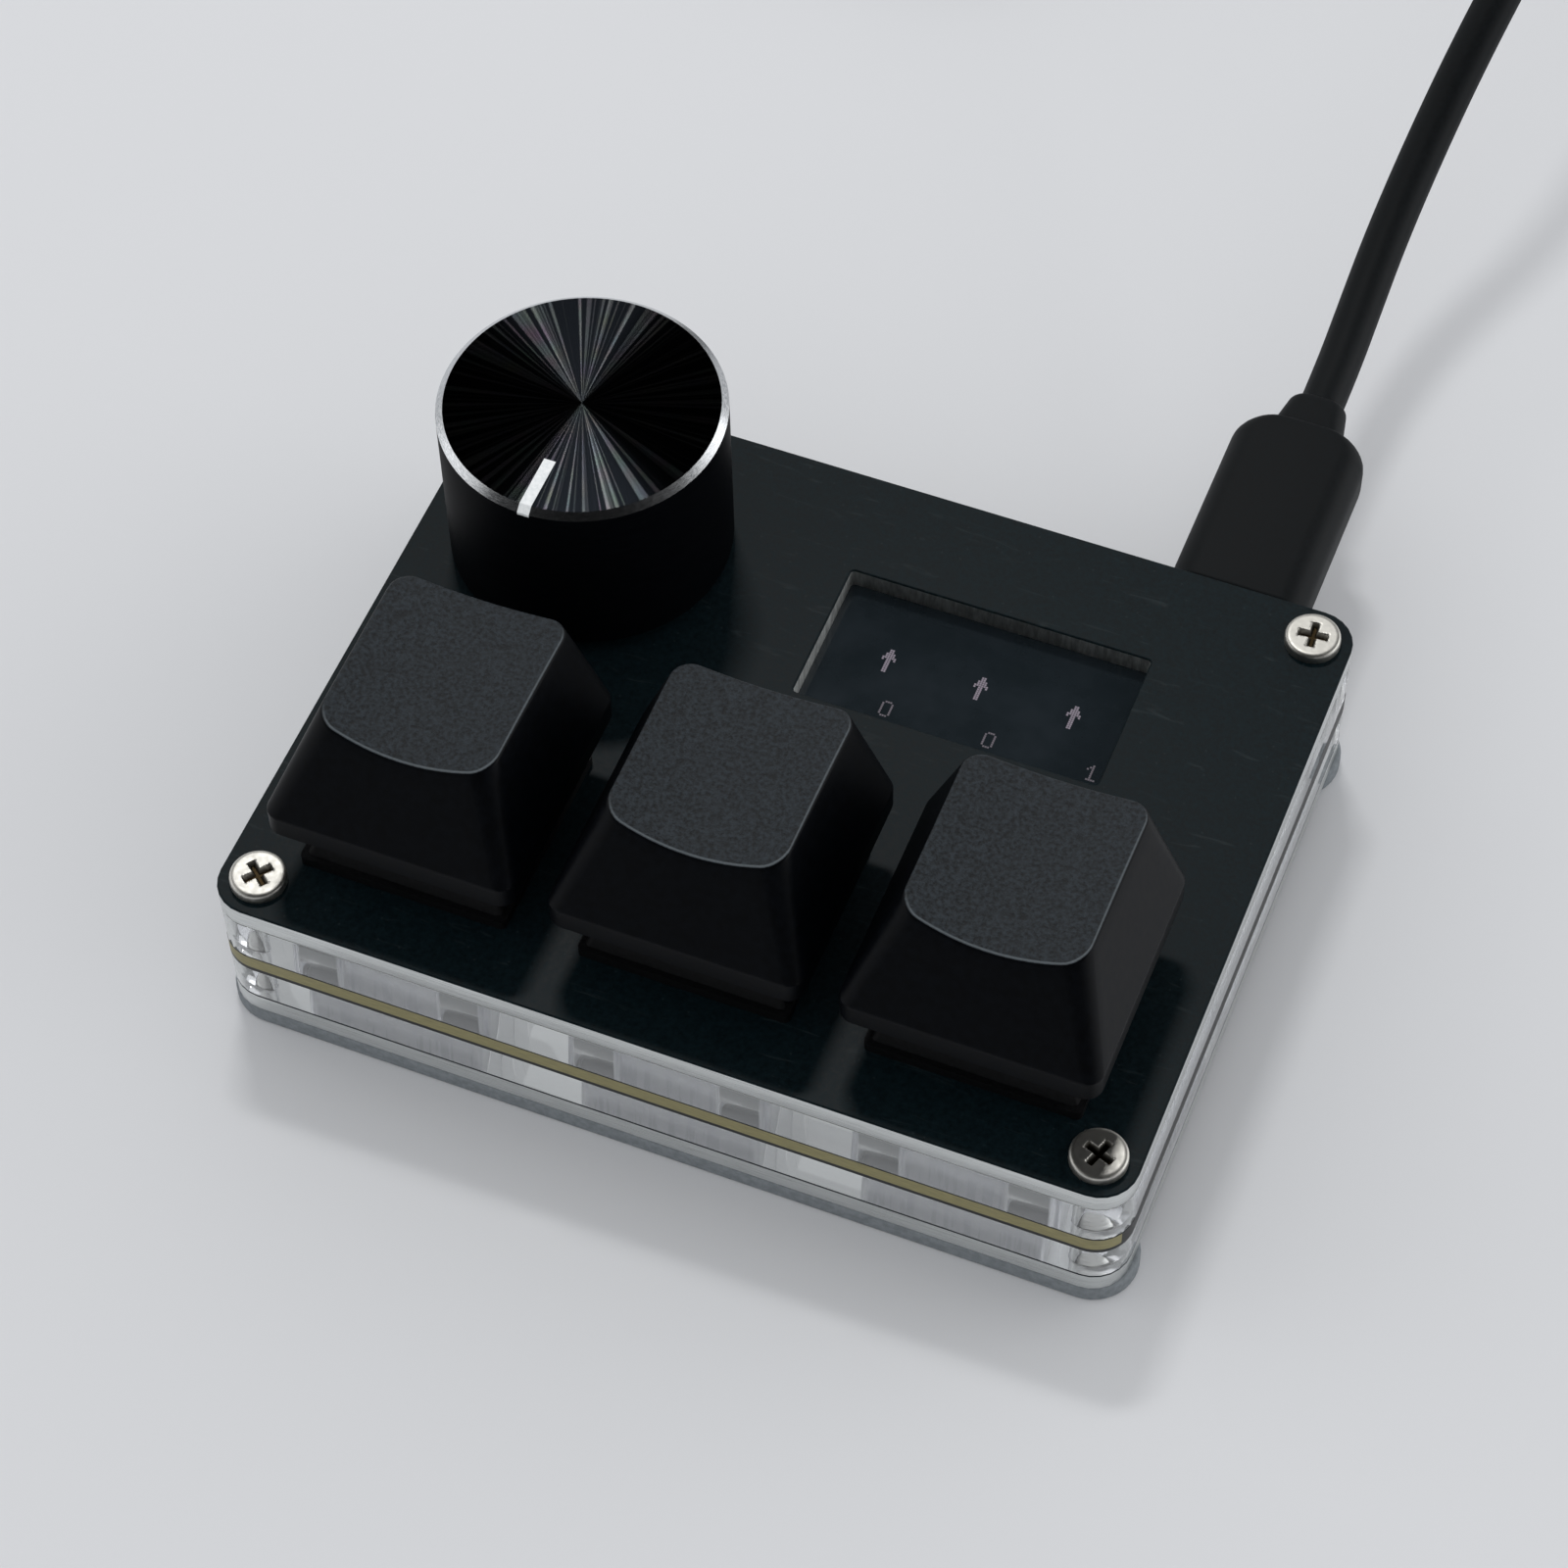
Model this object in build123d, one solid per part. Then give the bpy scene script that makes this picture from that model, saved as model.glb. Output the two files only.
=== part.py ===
from build123d import *
import math
import os

# A small keypad: two metal plates, two clear spacers and a circuit board held by four corner screws.
# Three sprung keys stand in front, a push knob and a display window behind, and a lead at the rear.
# Millimetres. +X is to the right, +Y to the rear and +Z up. The origin is on the table, under the middle.

# ---------------------------------------------------------------- plates, spacers and board
plate_width = 65.0
plate_depth = 50.0
plate_corner_radius = 2.7
bottom_plate_thickness = 1.7
lower_spacer_thickness = 3.2
board_thickness = 1.6
upper_spacer_thickness = 3.8
top_plate_thickness = 1.7
pocket_corner_radius = 0.8
cutout_corner_radius = 0.3

# ---------------------------------------------------------------- foot strips
foot_overhang = 0.4
foot_width = 6.4
foot_thickness = 1.65

# ---------------------------------------------------------------- corner screws
screw_inset = 2.8
screw_diameter = 2.0
screw_head_diameter = 3.9
screw_head_height = 0.8
screw_head_rounding = 0.3
screw_recess_span = 2.0
screw_recess_width = 0.5
screw_recess_depth = 0.45
screw_tip_recess = 0.1
screw_hole_clearance = 0.1
thread_clearance = 0.05

# ---------------------------------------------------------------- keys: switch housings
key_pitch = 20.2
key_row_y = -12.5
key_travel = 4.0
switch_cutout_width = 14.0
switch_fit = 0.1
switch_foot_width = 12.7
switch_corner_radius = 0.4
switch_floor_thickness = 1.2
switch_flange_width = 15.0
switch_flange_thickness = 0.8
switch_cavity_width = 11.0
switch_cavity_depth = 11.0
switch_post_diameter = 4.0
switch_post_length = 3.3
switch_cover_width = 14.2
switch_cover_top_width = 10.8
switch_cover_height = 4.8
switch_cover_wall = 1.1
switch_cover_roof = 1.0

# ---------------------------------------------------------------- keys: stem, spring and contacts
stem_guide_diameter = 3.0
stem_guide_height = 3.3
stem_pole_diameter = 1.8
stem_pole_length = 5.2
stem_pole_clearance = 0.05
stem_flange_width = 8.4
stem_flange_depth = 6.8
stem_flange_height = 3.1
stem_flange_gap = 0.3
stem_recess_diameter = 4.8
stem_recess_depth = 2.4
stem_shoulder_width = 7.2
stem_shoulder_depth = 5.6
stem_shoulder_rise = 1.0
stem_opening_clearance = 0.3
stem_cross_span = 4.0
stem_cross_thickness = 1.17
stem_cross_height = 3.6
spring_wire = 0.3
spring_mean_diameter = 3.9
spring_turns = 5
contact_width = 1.2
contact_thickness = 0.3
contact_pin_length = 3.1
contact_leaf_top = 4.0
contact_slot_clearance = 0.05
near_contact_x = -3.81
near_contact_y = 2.54
far_contact_x = 2.54
far_contact_y = 5.08
near_leaf_y = 4.6
contact_hole_diameter = 1.5
post_hole_clearance = 0.05

# ---------------------------------------------------------------- keycaps
cap_width = 17.8
cap_corner_radius = 1.2
cap_flange_gap = 0.2
cap_band_height = 1.8
cap_front_height = 8.8
cap_rear_height = 8.6
cap_top_width = 12.4
cap_top_front = -4.7
cap_top_rear = 8.4
cap_top_corner_radius = 1.6
cap_front_dish = 1.1
cap_rear_dish = 0.5
cap_wall = 1.3
cap_roof = 1.5
cap_inner_corner_radius = 0.6
cap_post_diameter = 5.5
cap_socket_clearance = 0.05
cap_socket_end_gap = 0.3
cap_rib_thickness = 0.8
cap_rib_height = 1.6

# ---------------------------------------------------------------- knob
knob_side_inset = 12.2
knob_rear_inset = 12.5
knob_diameter = 20.0
knob_height = 13.7
knob_gap = 1.2
knob_chamfer_width = 0.5
knob_chamfer_drop = 0.3
knob_recess_diameter = 16.4
knob_recess_depth = 4.6
knob_roof = 1.5
knob_push = 0.5
insert_diameter = 10.0
insert_fit = 0.02
insert_end_roof = 0.8
insert_rest_gap = 0.3
pointer_start = 5.4
pointer_width = 0.85
pointer_depth = 0.4

# ---------------------------------------------------------------- encoder under the knob
encoder_width = 11.7
encoder_depth = 12.0
encoder_base_height = 2.2
encoder_cover_wall = 0.7
encoder_cavity_diameter = 9.6
encoder_cutout_clearance = 0.3
bushing_diameter = 7.0
bushing_height = 5.0
bushing_flange_diameter = 9.0
bushing_flange_thickness = 0.5
shaft_diameter = 6.0
shaft_fit = 0.05
shaft_flat = 1.5
shaft_flat_length = 7.0
shaft_socket_clearance = 0.05
shaft_end_gap = 0.2
wiper_diameter = 9.0
wiper_thickness = 0.6
wiper_float = 0.75
plunger_diameter = 3.0
plunger_fit = 0.05
plunger_floor_gap = 0.6
encoder_leg_width = 2.1
encoder_leg_thickness = 0.4
encoder_leg_drop = 1.0
encoder_leg_below_plate = 0.6
encoder_pin_pitch = 2.5
encoder_pin_reach = 1.5
encoder_pin_width = 0.8
encoder_pin_thickness = 0.3
encoder_pin_rise = 1.0
board_pin_length = 0.8
board_slot_clearance = 0.15

# ---------------------------------------------------------------- display
window_side_inset = 23.7
window_rear_inset = 14.03
window_width = 22.2
window_depth = 11.35
display_width = 26.7
display_depth = 19.26
display_rear_border = 1.3
display_glass_thickness = 0.7
display_back_depth = 15.2
display_back_thickness = 0.75
display_pocket_clearance = 0.3
foam_width = 20.0
foam_depth = 11.0
flex_width = 12.5
flex_thickness = 0.2
flex_bond_length = 2.4
flex_tail_length = 4.0
flex_bend_overhang = 0.2

# ---------------------------------------------------------------- socket and plug of the lead
socket_side_inset = 9.4
socket_width = 8.94
socket_height = 3.26
socket_length = 6.2
socket_wall = 0.3
socket_back_wall = 0.8
socket_setback = 0.1
socket_pocket_clearance = 0.25
socket_leg_width = 0.9
socket_leg_offset = 1.6
socket_leg_spacing = 3.2
tongue_width = 6.7
tongue_thickness = 0.7
tongue_length = 4.4
plug_width = 8.24
plug_height = 2.4
plug_wall = 0.3
plug_reach = 5.4
overmould_gap = 0.6
overmould_width = 9.9
overmould_height = 5.8
overmould_length = 16.4
overmould_rounding = 2.0
overmould_plan_rounding = 1.6
collar_width = 5.4
collar_height = 4.4
collar_end_width = 4.2
collar_end_height = 4.0
collar_length = 3.4
collar_rounding = 1.2

# ---------------------------------------------------------------- cable, coil and far plug
cable_diameter = 3.3
coil_mean_diameter = 36.5
coil_layers = 2
coil_turns = 7.5
coil_side_offset = 2.9
coil_distance = 112.6
coil_chamfer = 1.2
tie_width = 4.0
tie_thickness = 0.5
tie_gap = 0.25
tail_side_offset = 1.3
tail_length = 24.5
bend_share = 0.45
minimum_bend_diameters = 5
far_overmould_width = 15.6
far_overmould_height = 7.8
far_overmould_length = 24.0
far_overmould_rounding = 1.5
far_relief_width = 5.6
far_relief_end_width = 4.0
far_relief_length = 6.0
far_shell_width = 12.0
far_shell_height = 4.5
far_shell_length = 12.0
far_shell_wall = 0.3
far_shell_corner_radius = 0.3

# ---------------------------------------------------------------- small electronics under the board
chip_x = 4.0
chip_y = 9.0
chip_width = 7.0
chip_height = 0.9
regulator_side_inset = 8.5
regulator_y = 13.0
regulator_width = 3.0
regulator_depth = 1.7
regulator_height = 1.1
crystal_side_inset = 3.0
crystal_y = 13.0
crystal_width = 3.2
crystal_depth = 2.5
crystal_height = 0.8
passive_length = 1.6
passive_width = 0.8
passive_height = 0.6
passive_pitch = 2.4
passive_count = 6
capacitor_row_x = 0.0
capacitor_row_y = 16.5
resistor_row_x = 0.0
resistor_row_y = 2.5
diode_length = 2.6
diode_width = 1.5
diode_height = 1.0
diode_x_offset = 4.6
diode_y_offset = -2.0

# ---------------------------------------------------------------- pockets in the spacers
upper_pocket_gap = 0.3
pocket_notch_width = 3.2
pocket_notch_depth = 0.9
pocket_notch_inset = 0.5
pocket_notch_radius = 0.5
lower_switch_pocket_width = 13.0
lower_switch_pocket_depth = 16.6
encoder_pocket_side_gap = 0.95
encoder_pocket_end_gap = 2.2
parts_pocket_x = 8.5
parts_pocket_y = 9.5
parts_pocket_width = 32.0
parts_pocket_depth = 19.0
flex_pocket_margin = 0.6

# ---------------------------------------------------------------- levels, worked out from the stack
bottom_plate_low = foot_thickness
lower_spacer_low = bottom_plate_low + bottom_plate_thickness
board_low = lower_spacer_low + lower_spacer_thickness
board_top = board_low + board_thickness
plate_low = board_top + upper_spacer_thickness
plate_top = plate_low + top_plate_thickness
flange_top = plate_top + switch_flange_thickness
cover_top = flange_top + switch_cover_height
stem_flange_top = cover_top - switch_cover_roof - stem_flange_gap
stem_flange_low = stem_flange_top - stem_flange_height
stem_shoulder_top = cover_top + stem_shoulder_rise
stem_top = stem_shoulder_top + stem_cross_height
spring_low = board_top + switch_floor_thickness
spring_top = stem_flange_low + stem_recess_depth
cap_low = flange_top + cap_flange_gap + key_travel
knob_low = plate_top + knob_gap
knob_top = knob_low + knob_height
knob_ceiling = knob_top - knob_roof
bushing_top = plate_top + bushing_height
encoder_base_top = board_top + encoder_base_height
cover_roof_low = plate_top - encoder_cover_wall
wiper_top = cover_roof_low - bushing_flange_thickness - wiper_float
wiper_low = wiper_top - wiper_thickness
insert_low = bushing_top + knob_push + insert_rest_gap
shaft_top = knob_ceiling - insert_end_roof
glass_low = plate_low - display_glass_thickness
display_low = glass_low - display_back_thickness

# ---------------------------------------------------------------- places, worked out from the plate's edges
foot_length = plate_width + 2 * foot_overhang
knob_x = knob_side_inset - plate_width / 2
knob_y = plate_depth / 2 - knob_rear_inset
window_x = plate_width / 2 - window_side_inset
window_y = plate_depth / 2 - window_rear_inset
socket_x = plate_width / 2 - socket_side_inset
socket_z = board_top + socket_height / 2
socket_mouth_y = plate_depth / 2 - socket_setback
overmould_y = plate_depth / 2 + overmould_gap
collar_y = overmould_y + overmould_length
cable_y = collar_y + collar_length
window_rear_y = window_y + window_depth / 2
display_rear_y = window_rear_y + display_rear_border
display_front_y = display_rear_y - display_depth
upper_switch_pocket = switch_cutout_width + 2 * upper_pocket_gap
pocket_notch_offset = (upper_switch_pocket - pocket_notch_width) / 2 - pocket_notch_inset
encoder_pocket_width = encoder_width + 2 * encoder_pocket_side_gap
encoder_pocket_depth = encoder_depth + 2 * encoder_pocket_end_gap
crystal_x = parts_pocket_x - parts_pocket_width / 2 + crystal_side_inset
regulator_x = parts_pocket_x + parts_pocket_width / 2 - regulator_side_inset
key_places = [(-key_pitch, key_row_y), (0.0, key_row_y), (key_pitch, key_row_y)]
key_names = ["left", "middle", "right"]

# The coil: its layers lie on each other, and each layer holds its share of the turns side by side.
coil_layer_turns = coil_turns / coil_layers
coil_outer_radius = coil_mean_diameter / 2 + coil_layer_turns * cable_diameter / 2
coil_band_width = (coil_layer_turns + 1) * cable_diameter
coil_height = coil_layers * cable_diameter
coil_lift = tie_thickness
coil_low_z = coil_lift + cable_diameter / 2
coil_high_z = coil_low_z + (coil_layers - 1) * cable_diameter
coil_right_x = socket_x + coil_side_offset
coil_x = coil_right_x - coil_outer_radius
coil_left_x = coil_x - coil_outer_radius
coil_y = cable_y + coil_distance
tail_x = coil_left_x - tail_side_offset
tail_z = far_overmould_height / 2
tail_end_y = coil_y - tail_length

# The cable's way from the collar to the coil: sideways and rearwards from the collar's end, and height.
cable_route = [
    (0.0, 0.0, socket_z),
    (0.0, 4.6, socket_z),
    (-0.1, 10.0, 10.55),
    (-0.1, 16.1, 12.05),
    (0.35, 23.1, 14.55),
    (1.2, 30.1, 17.85),
    (2.4, 37.2, 21.3),
    (3.8, 46.6, 24.2),
    (4.9, 57.6, 24.8),
    (5.4, 68.6, 21.6),
    (5.2, 78.6, 15.2),
    (4.5, 87.1, 8.6),
    (3.5, 95.1, 3.9),
    (coil_side_offset, 104.2, coil_low_z),
    (coil_side_offset, coil_distance, coil_low_z),
]
cable_points = [(socket_x + right, cable_y + rear, height) for right, rear, height in cable_route]

# The tail's way from the coil to the far plug: sideways and frontwards from the coil, and height.
tail_route = [
    (0.0, 0.0, coil_high_z),
    (0.0, 5.5, coil_high_z),
    (0.9, 12.5, tail_z + 0.3),
    (tail_side_offset, 19.0, tail_z),
    (tail_side_offset, tail_length, tail_z),
]
tail_points = [(coil_left_x - left, coil_y - front, height) for left, front, height in tail_route]


# ---------------------------------------------------------------- shapes used again and again
UPRIGHT = (Align.CENTER, Align.CENTER, Align.MIN)
cut_overshoot = 1.0


def block(x, y, low, top, width, depth):
    """A box centred on x and y, from the height low to the height top."""
    return Pos(x, y, low) * Box(width, depth, top - low, align=UPRIGHT)


def rounded_block(x, y, low, top, width, depth, radius):
    """The same with rounded upright corners."""
    return Pos(x, y, low) * extrude(RectangleRounded(width, depth, radius), amount=top - low)


def round_bar(x, y, low, top, diameter):
    """An upright cylinder."""
    return Pos(x, y, low) * Cylinder(diameter / 2, top - low, align=UPRIGHT)


def tapered_block(low, top, low_width, top_width, radius):
    """A square block that narrows evenly from its foot to its top."""
    foot = Pos(0, 0, low) * RectangleRounded(low_width, low_width, radius)
    head = Pos(0, 0, top) * RectangleRounded(top_width, top_width, radius)
    return loft([foot, head])


def rearward(x, y, z):
    """A plane across the depth, for profiles that run towards the rear."""
    return Plane(origin=(x, y, z), x_dir=(-1, 0, 0), z_dir=(0, 1, 0))


def screw_places():
    """The four corner holes."""
    x = plate_width / 2 - screw_inset
    y = plate_depth / 2 - screw_inset
    return [(-x, -y), (x, -y), (-x, y), (x, y)]


def drill(shape, places, low, top, diameter):
    """The shape with an upright hole at each place."""
    for x, y in places:
        shape -= round_bar(x, y, low - cut_overshoot, top + cut_overshoot, diameter)
    return shape


def plate_blank(low, thickness, hole_diameter):
    """The outline that plates, spacers and board share, with its corner holes."""
    top = low + thickness
    blank = rounded_block(0, 0, low, top, plate_width, plate_depth, plate_corner_radius)
    return drill(blank, screw_places(), low, top, hole_diameter)


# ---------------------------------------------------------------- plates, spacers, feet and screws
screw_hole_diameter = screw_diameter + 2 * screw_hole_clearance


def top_plate():
    plate = plate_blank(plate_low, top_plate_thickness, screw_hole_diameter)
    low = plate_low - cut_overshoot
    top = plate_top + cut_overshoot
    for x, y in key_places:
        width = switch_cutout_width
        plate -= rounded_block(x, y, low, top, width, width, cutout_corner_radius)
    width = encoder_width + 2 * encoder_cutout_clearance
    depth = encoder_depth + 2 * encoder_cutout_clearance
    plate -= rounded_block(knob_x, knob_y, low, top, width, depth, cutout_corner_radius)
    plate -= rounded_block(window_x, window_y, low, top, window_width, window_depth, cutout_corner_radius)
    return plate


def clip_pocket(x, y, low, top):
    """A square pocket for a switch, with two notches in front and two behind for its clips."""
    width = upper_switch_pocket
    pocket = rounded_block(x, y, low, top, width, width, pocket_corner_radius)
    depth = width + 2 * pocket_notch_depth
    for notch_x in (x - pocket_notch_offset, x + pocket_notch_offset):
        pocket += rounded_block(notch_x, y, low, top, pocket_notch_width, depth, pocket_notch_radius)
    return pocket


def upper_spacer():
    spacer = plate_blank(board_top, upper_spacer_thickness, screw_hole_diameter)
    low = board_top - cut_overshoot
    top = plate_low + cut_overshoot
    for x, y in key_places:
        spacer -= clip_pocket(x, y, low, top)
    spacer -= rounded_block(
        knob_x, knob_y, low, top, encoder_pocket_width, encoder_pocket_depth, pocket_corner_radius
    )
    front = flex_front_y() - flex_pocket_margin
    rear = display_rear_y + display_pocket_clearance
    width = display_width + 2 * display_pocket_clearance
    spacer -= rounded_block(window_x, (front + rear) / 2, low, top, width, rear - front, pocket_corner_radius)
    front = socket_mouth_y - socket_length - socket_pocket_clearance
    width = socket_width + 2 * socket_pocket_clearance
    spacer -= block(socket_x, front + plate_depth / 2, low, top, width, plate_depth)
    return spacer


def lower_spacer():
    spacer = plate_blank(lower_spacer_low, lower_spacer_thickness, screw_hole_diameter)
    low = lower_spacer_low - cut_overshoot
    top = board_low + cut_overshoot
    width = lower_switch_pocket_width
    depth = lower_switch_pocket_depth
    for x, y in key_places:
        spacer -= rounded_block(x, y, low, top, width, depth, pocket_corner_radius)
    spacer -= rounded_block(
        knob_x, knob_y, low, top, encoder_pocket_width, encoder_pocket_depth, pocket_corner_radius
    )
    spacer -= rounded_block(
        parts_pocket_x, parts_pocket_y, low, top, parts_pocket_width, parts_pocket_depth, pocket_corner_radius
    )
    return spacer


def bottom_plate():
    return plate_blank(bottom_plate_low, bottom_plate_thickness, screw_diameter + 2 * thread_clearance)


def foot_strip(side):
    """A flat rubber strip with round ends, under the front (side -1) or rear (side 1) edge."""
    y = side * (plate_depth - foot_width) / 2
    return Pos(0, y, 0) * extrude(SlotOverall(foot_length, foot_width), amount=foot_thickness)


def corner_screw(x, y):
    """A pan head screw with a cross recess, threaded into the bottom plate."""
    tip = bottom_plate_low + screw_tip_recess
    head_top = plate_top + screw_head_height
    head = round_bar(x, y, plate_top, head_top, screw_head_diameter)
    head = fillet(head.edges().sort_by(Axis.Z)[-1], screw_head_rounding)
    screw = head + round_bar(x, y, tip, plate_top, screw_diameter)
    recess_low = head_top - screw_recess_depth
    screw -= block(x, y, recess_low, head_top + cut_overshoot, screw_recess_span, screw_recess_width)
    screw -= block(x, y, recess_low, head_top + cut_overshoot, screw_recess_width, screw_recess_span)
    return screw


# ---------------------------------------------------------------- circuit board and what it carries
def circuit_board():
    board = plate_blank(board_low, board_thickness, screw_hole_diameter)
    pin_holes = []
    for x, y in key_places:
        pin_holes.append((x + near_contact_x, y + near_contact_y))
        pin_holes.append((x + far_contact_x, y + far_contact_y))
    post_hole = switch_post_diameter + 2 * post_hole_clearance
    board = drill(board, key_places, board_low, board_top, post_hole)
    board = drill(board, pin_holes, board_low, board_top, contact_hole_diameter)
    low = board_low - cut_overshoot
    top = board_top + cut_overshoot
    for x, y in encoder_pin_places():
        width = encoder_pin_width + 2 * board_slot_clearance
        depth = encoder_pin_thickness + 2 * board_slot_clearance
        board -= block(x, y, low, top, width, depth)
    for x, y in encoder_leg_places():
        width = encoder_leg_thickness + 2 * board_slot_clearance
        depth = encoder_leg_width + 2 * board_slot_clearance
        board -= block(x, y, low, top, width, depth)
    for x, y in socket_leg_places():
        width = socket_wall + 2 * board_slot_clearance
        depth = socket_leg_width + 2 * board_slot_clearance
        board -= block(x, y, low, top, width, depth)
    return board


def under_board(x, y, width, depth, height):
    """A component soldered to the underside of the board."""
    return block(x, y, board_low - height, board_low, width, depth)


def passive_row(x, y):
    """A row of chip components, side by side."""
    row = []
    for i in range(passive_count):
        row.append(under_board(x + i * passive_pitch, y, passive_width, passive_length, passive_height))
    return row


def key_diodes():
    """One diode beside each key."""
    row = []
    for x, y in key_places:
        row.append(
            under_board(x + diode_x_offset, y + diode_y_offset, diode_width, diode_length, diode_height)
        )
    return row


# ---------------------------------------------------------------- key switch
def switch_base():
    """Lower housing: flange on the plate, body narrowing to the board, post through the board."""
    body_width = switch_cutout_width - 2 * switch_fit
    flange = rounded_block(
        0, 0, plate_top, flange_top, switch_flange_width, switch_flange_width, switch_corner_radius
    )
    neck = rounded_block(0, 0, plate_low, plate_top, body_width, body_width, switch_corner_radius)
    foot = tapered_block(board_top, plate_low, switch_foot_width, body_width, switch_corner_radius)
    post = round_bar(0, 0, board_top - switch_post_length, board_top, switch_post_diameter)
    base = flange + neck + foot + post
    base -= block(0, 0, spring_low, flange_top, switch_cavity_width, switch_cavity_depth)
    base += round_bar(0, 0, spring_low, spring_low + stem_guide_height, stem_guide_diameter)
    bore = stem_pole_diameter + 2 * stem_pole_clearance
    bore_low = spring_top - stem_pole_length - key_travel - stem_opening_clearance
    base -= round_bar(0, 0, bore_low, flange_top, bore)
    width = contact_width + 2 * contact_slot_clearance
    depth = contact_thickness + 2 * contact_slot_clearance
    low = board_top - cut_overshoot
    top = spring_low + cut_overshoot
    base -= block(near_contact_x, near_contact_y, low, top, width, depth)
    base -= block(far_contact_x, far_contact_y, low, top, width, depth)
    return base


def switch_cover():
    """Upper housing: a tapered box with an opening for the stem."""
    cover = tapered_block(
        flange_top, cover_top, switch_cover_width, switch_cover_top_width, switch_corner_radius
    )
    inside_foot = switch_cover_width - 2 * switch_cover_wall
    inside_head = switch_cover_top_width - 2 * switch_cover_wall
    roof_low = cover_top - switch_cover_roof
    cover -= tapered_block(flange_top, roof_low, inside_foot, inside_head, switch_corner_radius)
    width = stem_shoulder_width + 2 * stem_opening_clearance
    depth = stem_shoulder_depth + 2 * stem_opening_clearance
    cover -= block(0, 0, roof_low - cut_overshoot, cover_top + cut_overshoot, width, depth)
    return cover


def cross(low, top, span, thickness):
    """Two crossing blades."""
    return block(0, 0, low, top, span, thickness) + block(0, 0, low, top, thickness, span)


def switch_stem():
    """Slider: flange under the cover's roof, shoulder through it, cross on top, pole in the guide."""
    stem = block(0, 0, stem_flange_low, stem_flange_top, stem_flange_width, stem_flange_depth)
    stem -= round_bar(0, 0, stem_flange_low, spring_top, stem_recess_diameter)
    stem += block(0, 0, stem_flange_top, stem_shoulder_top, stem_shoulder_width, stem_shoulder_depth)
    stem += round_bar(0, 0, spring_top - stem_pole_length, spring_top, stem_pole_diameter)
    stem += cross(stem_shoulder_top, stem_top, stem_cross_span, stem_cross_thickness)
    return stem


def switch_spring():
    """Coil spring of square wire between the housing's floor and the stem."""
    height = spring_top - spring_low - spring_wire
    path = Pos(0, 0, spring_low + spring_wire / 2) * Helix(
        height / spring_turns, height, spring_mean_diameter / 2
    )
    section = Plane(origin=path @ 0, z_dir=path % 0) * Rectangle(spring_wire, spring_wire)
    return sweep(section, path=path, is_frenet=True)


def switch_contacts():
    """The two contact leaves, each with its pin through the floor and the board."""
    pin_low = board_top - contact_pin_length
    leaf_top = spring_low + contact_leaf_top
    run_top = spring_low + contact_thickness
    near = block(near_contact_x, near_contact_y, pin_low, run_top, contact_width, contact_thickness)
    run_depth = near_leaf_y - near_contact_y + contact_thickness
    run_y = (near_leaf_y + near_contact_y) / 2
    near += block(near_contact_x, run_y, spring_low, run_top, contact_width, run_depth)
    near += block(near_contact_x, near_leaf_y, spring_low, leaf_top, contact_width, contact_thickness)
    far = block(far_contact_x, far_contact_y, pin_low, leaf_top, contact_width, contact_thickness)
    return [near, far]


# ---------------------------------------------------------------- keycap
def cap_section(height, inset, radius):
    """The cap's outline at a height above its skirt, drawn in all round by the inset."""
    rise = max(0.0, (height - cap_band_height) / (cap_front_height - cap_band_height))
    width = cap_width + (cap_top_width - cap_width) * rise
    front = -cap_width / 2 + (cap_top_front + cap_width / 2) * rise
    rear = cap_width / 2 + (cap_top_rear - cap_width / 2) * rise
    outline = RectangleRounded(width - 2 * inset, rear - front - 2 * inset, radius)
    return Pos(0, (front + rear) / 2, cap_low + height) * outline


def dish_profile(y, edge_height, depth, top):
    """A hollow curve across the cap at y, closed above, to cut the finger dish."""
    half = cap_top_width / 2
    radius = (half**2 + depth**2) / (2 * depth)
    reach = half + cap_wall
    reach_height = cap_low + edge_height - depth + radius - math.sqrt(radius**2 - reach**2)
    curve = ThreePointArc(
        (-reach, y, reach_height), (0, y, cap_low + edge_height - depth), (reach, y, reach_height)
    )
    lid = Polyline((reach, y, reach_height), (reach, y, top), (-reach, y, top), (-reach, y, reach_height))
    return make_face(curve + lid)


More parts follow.
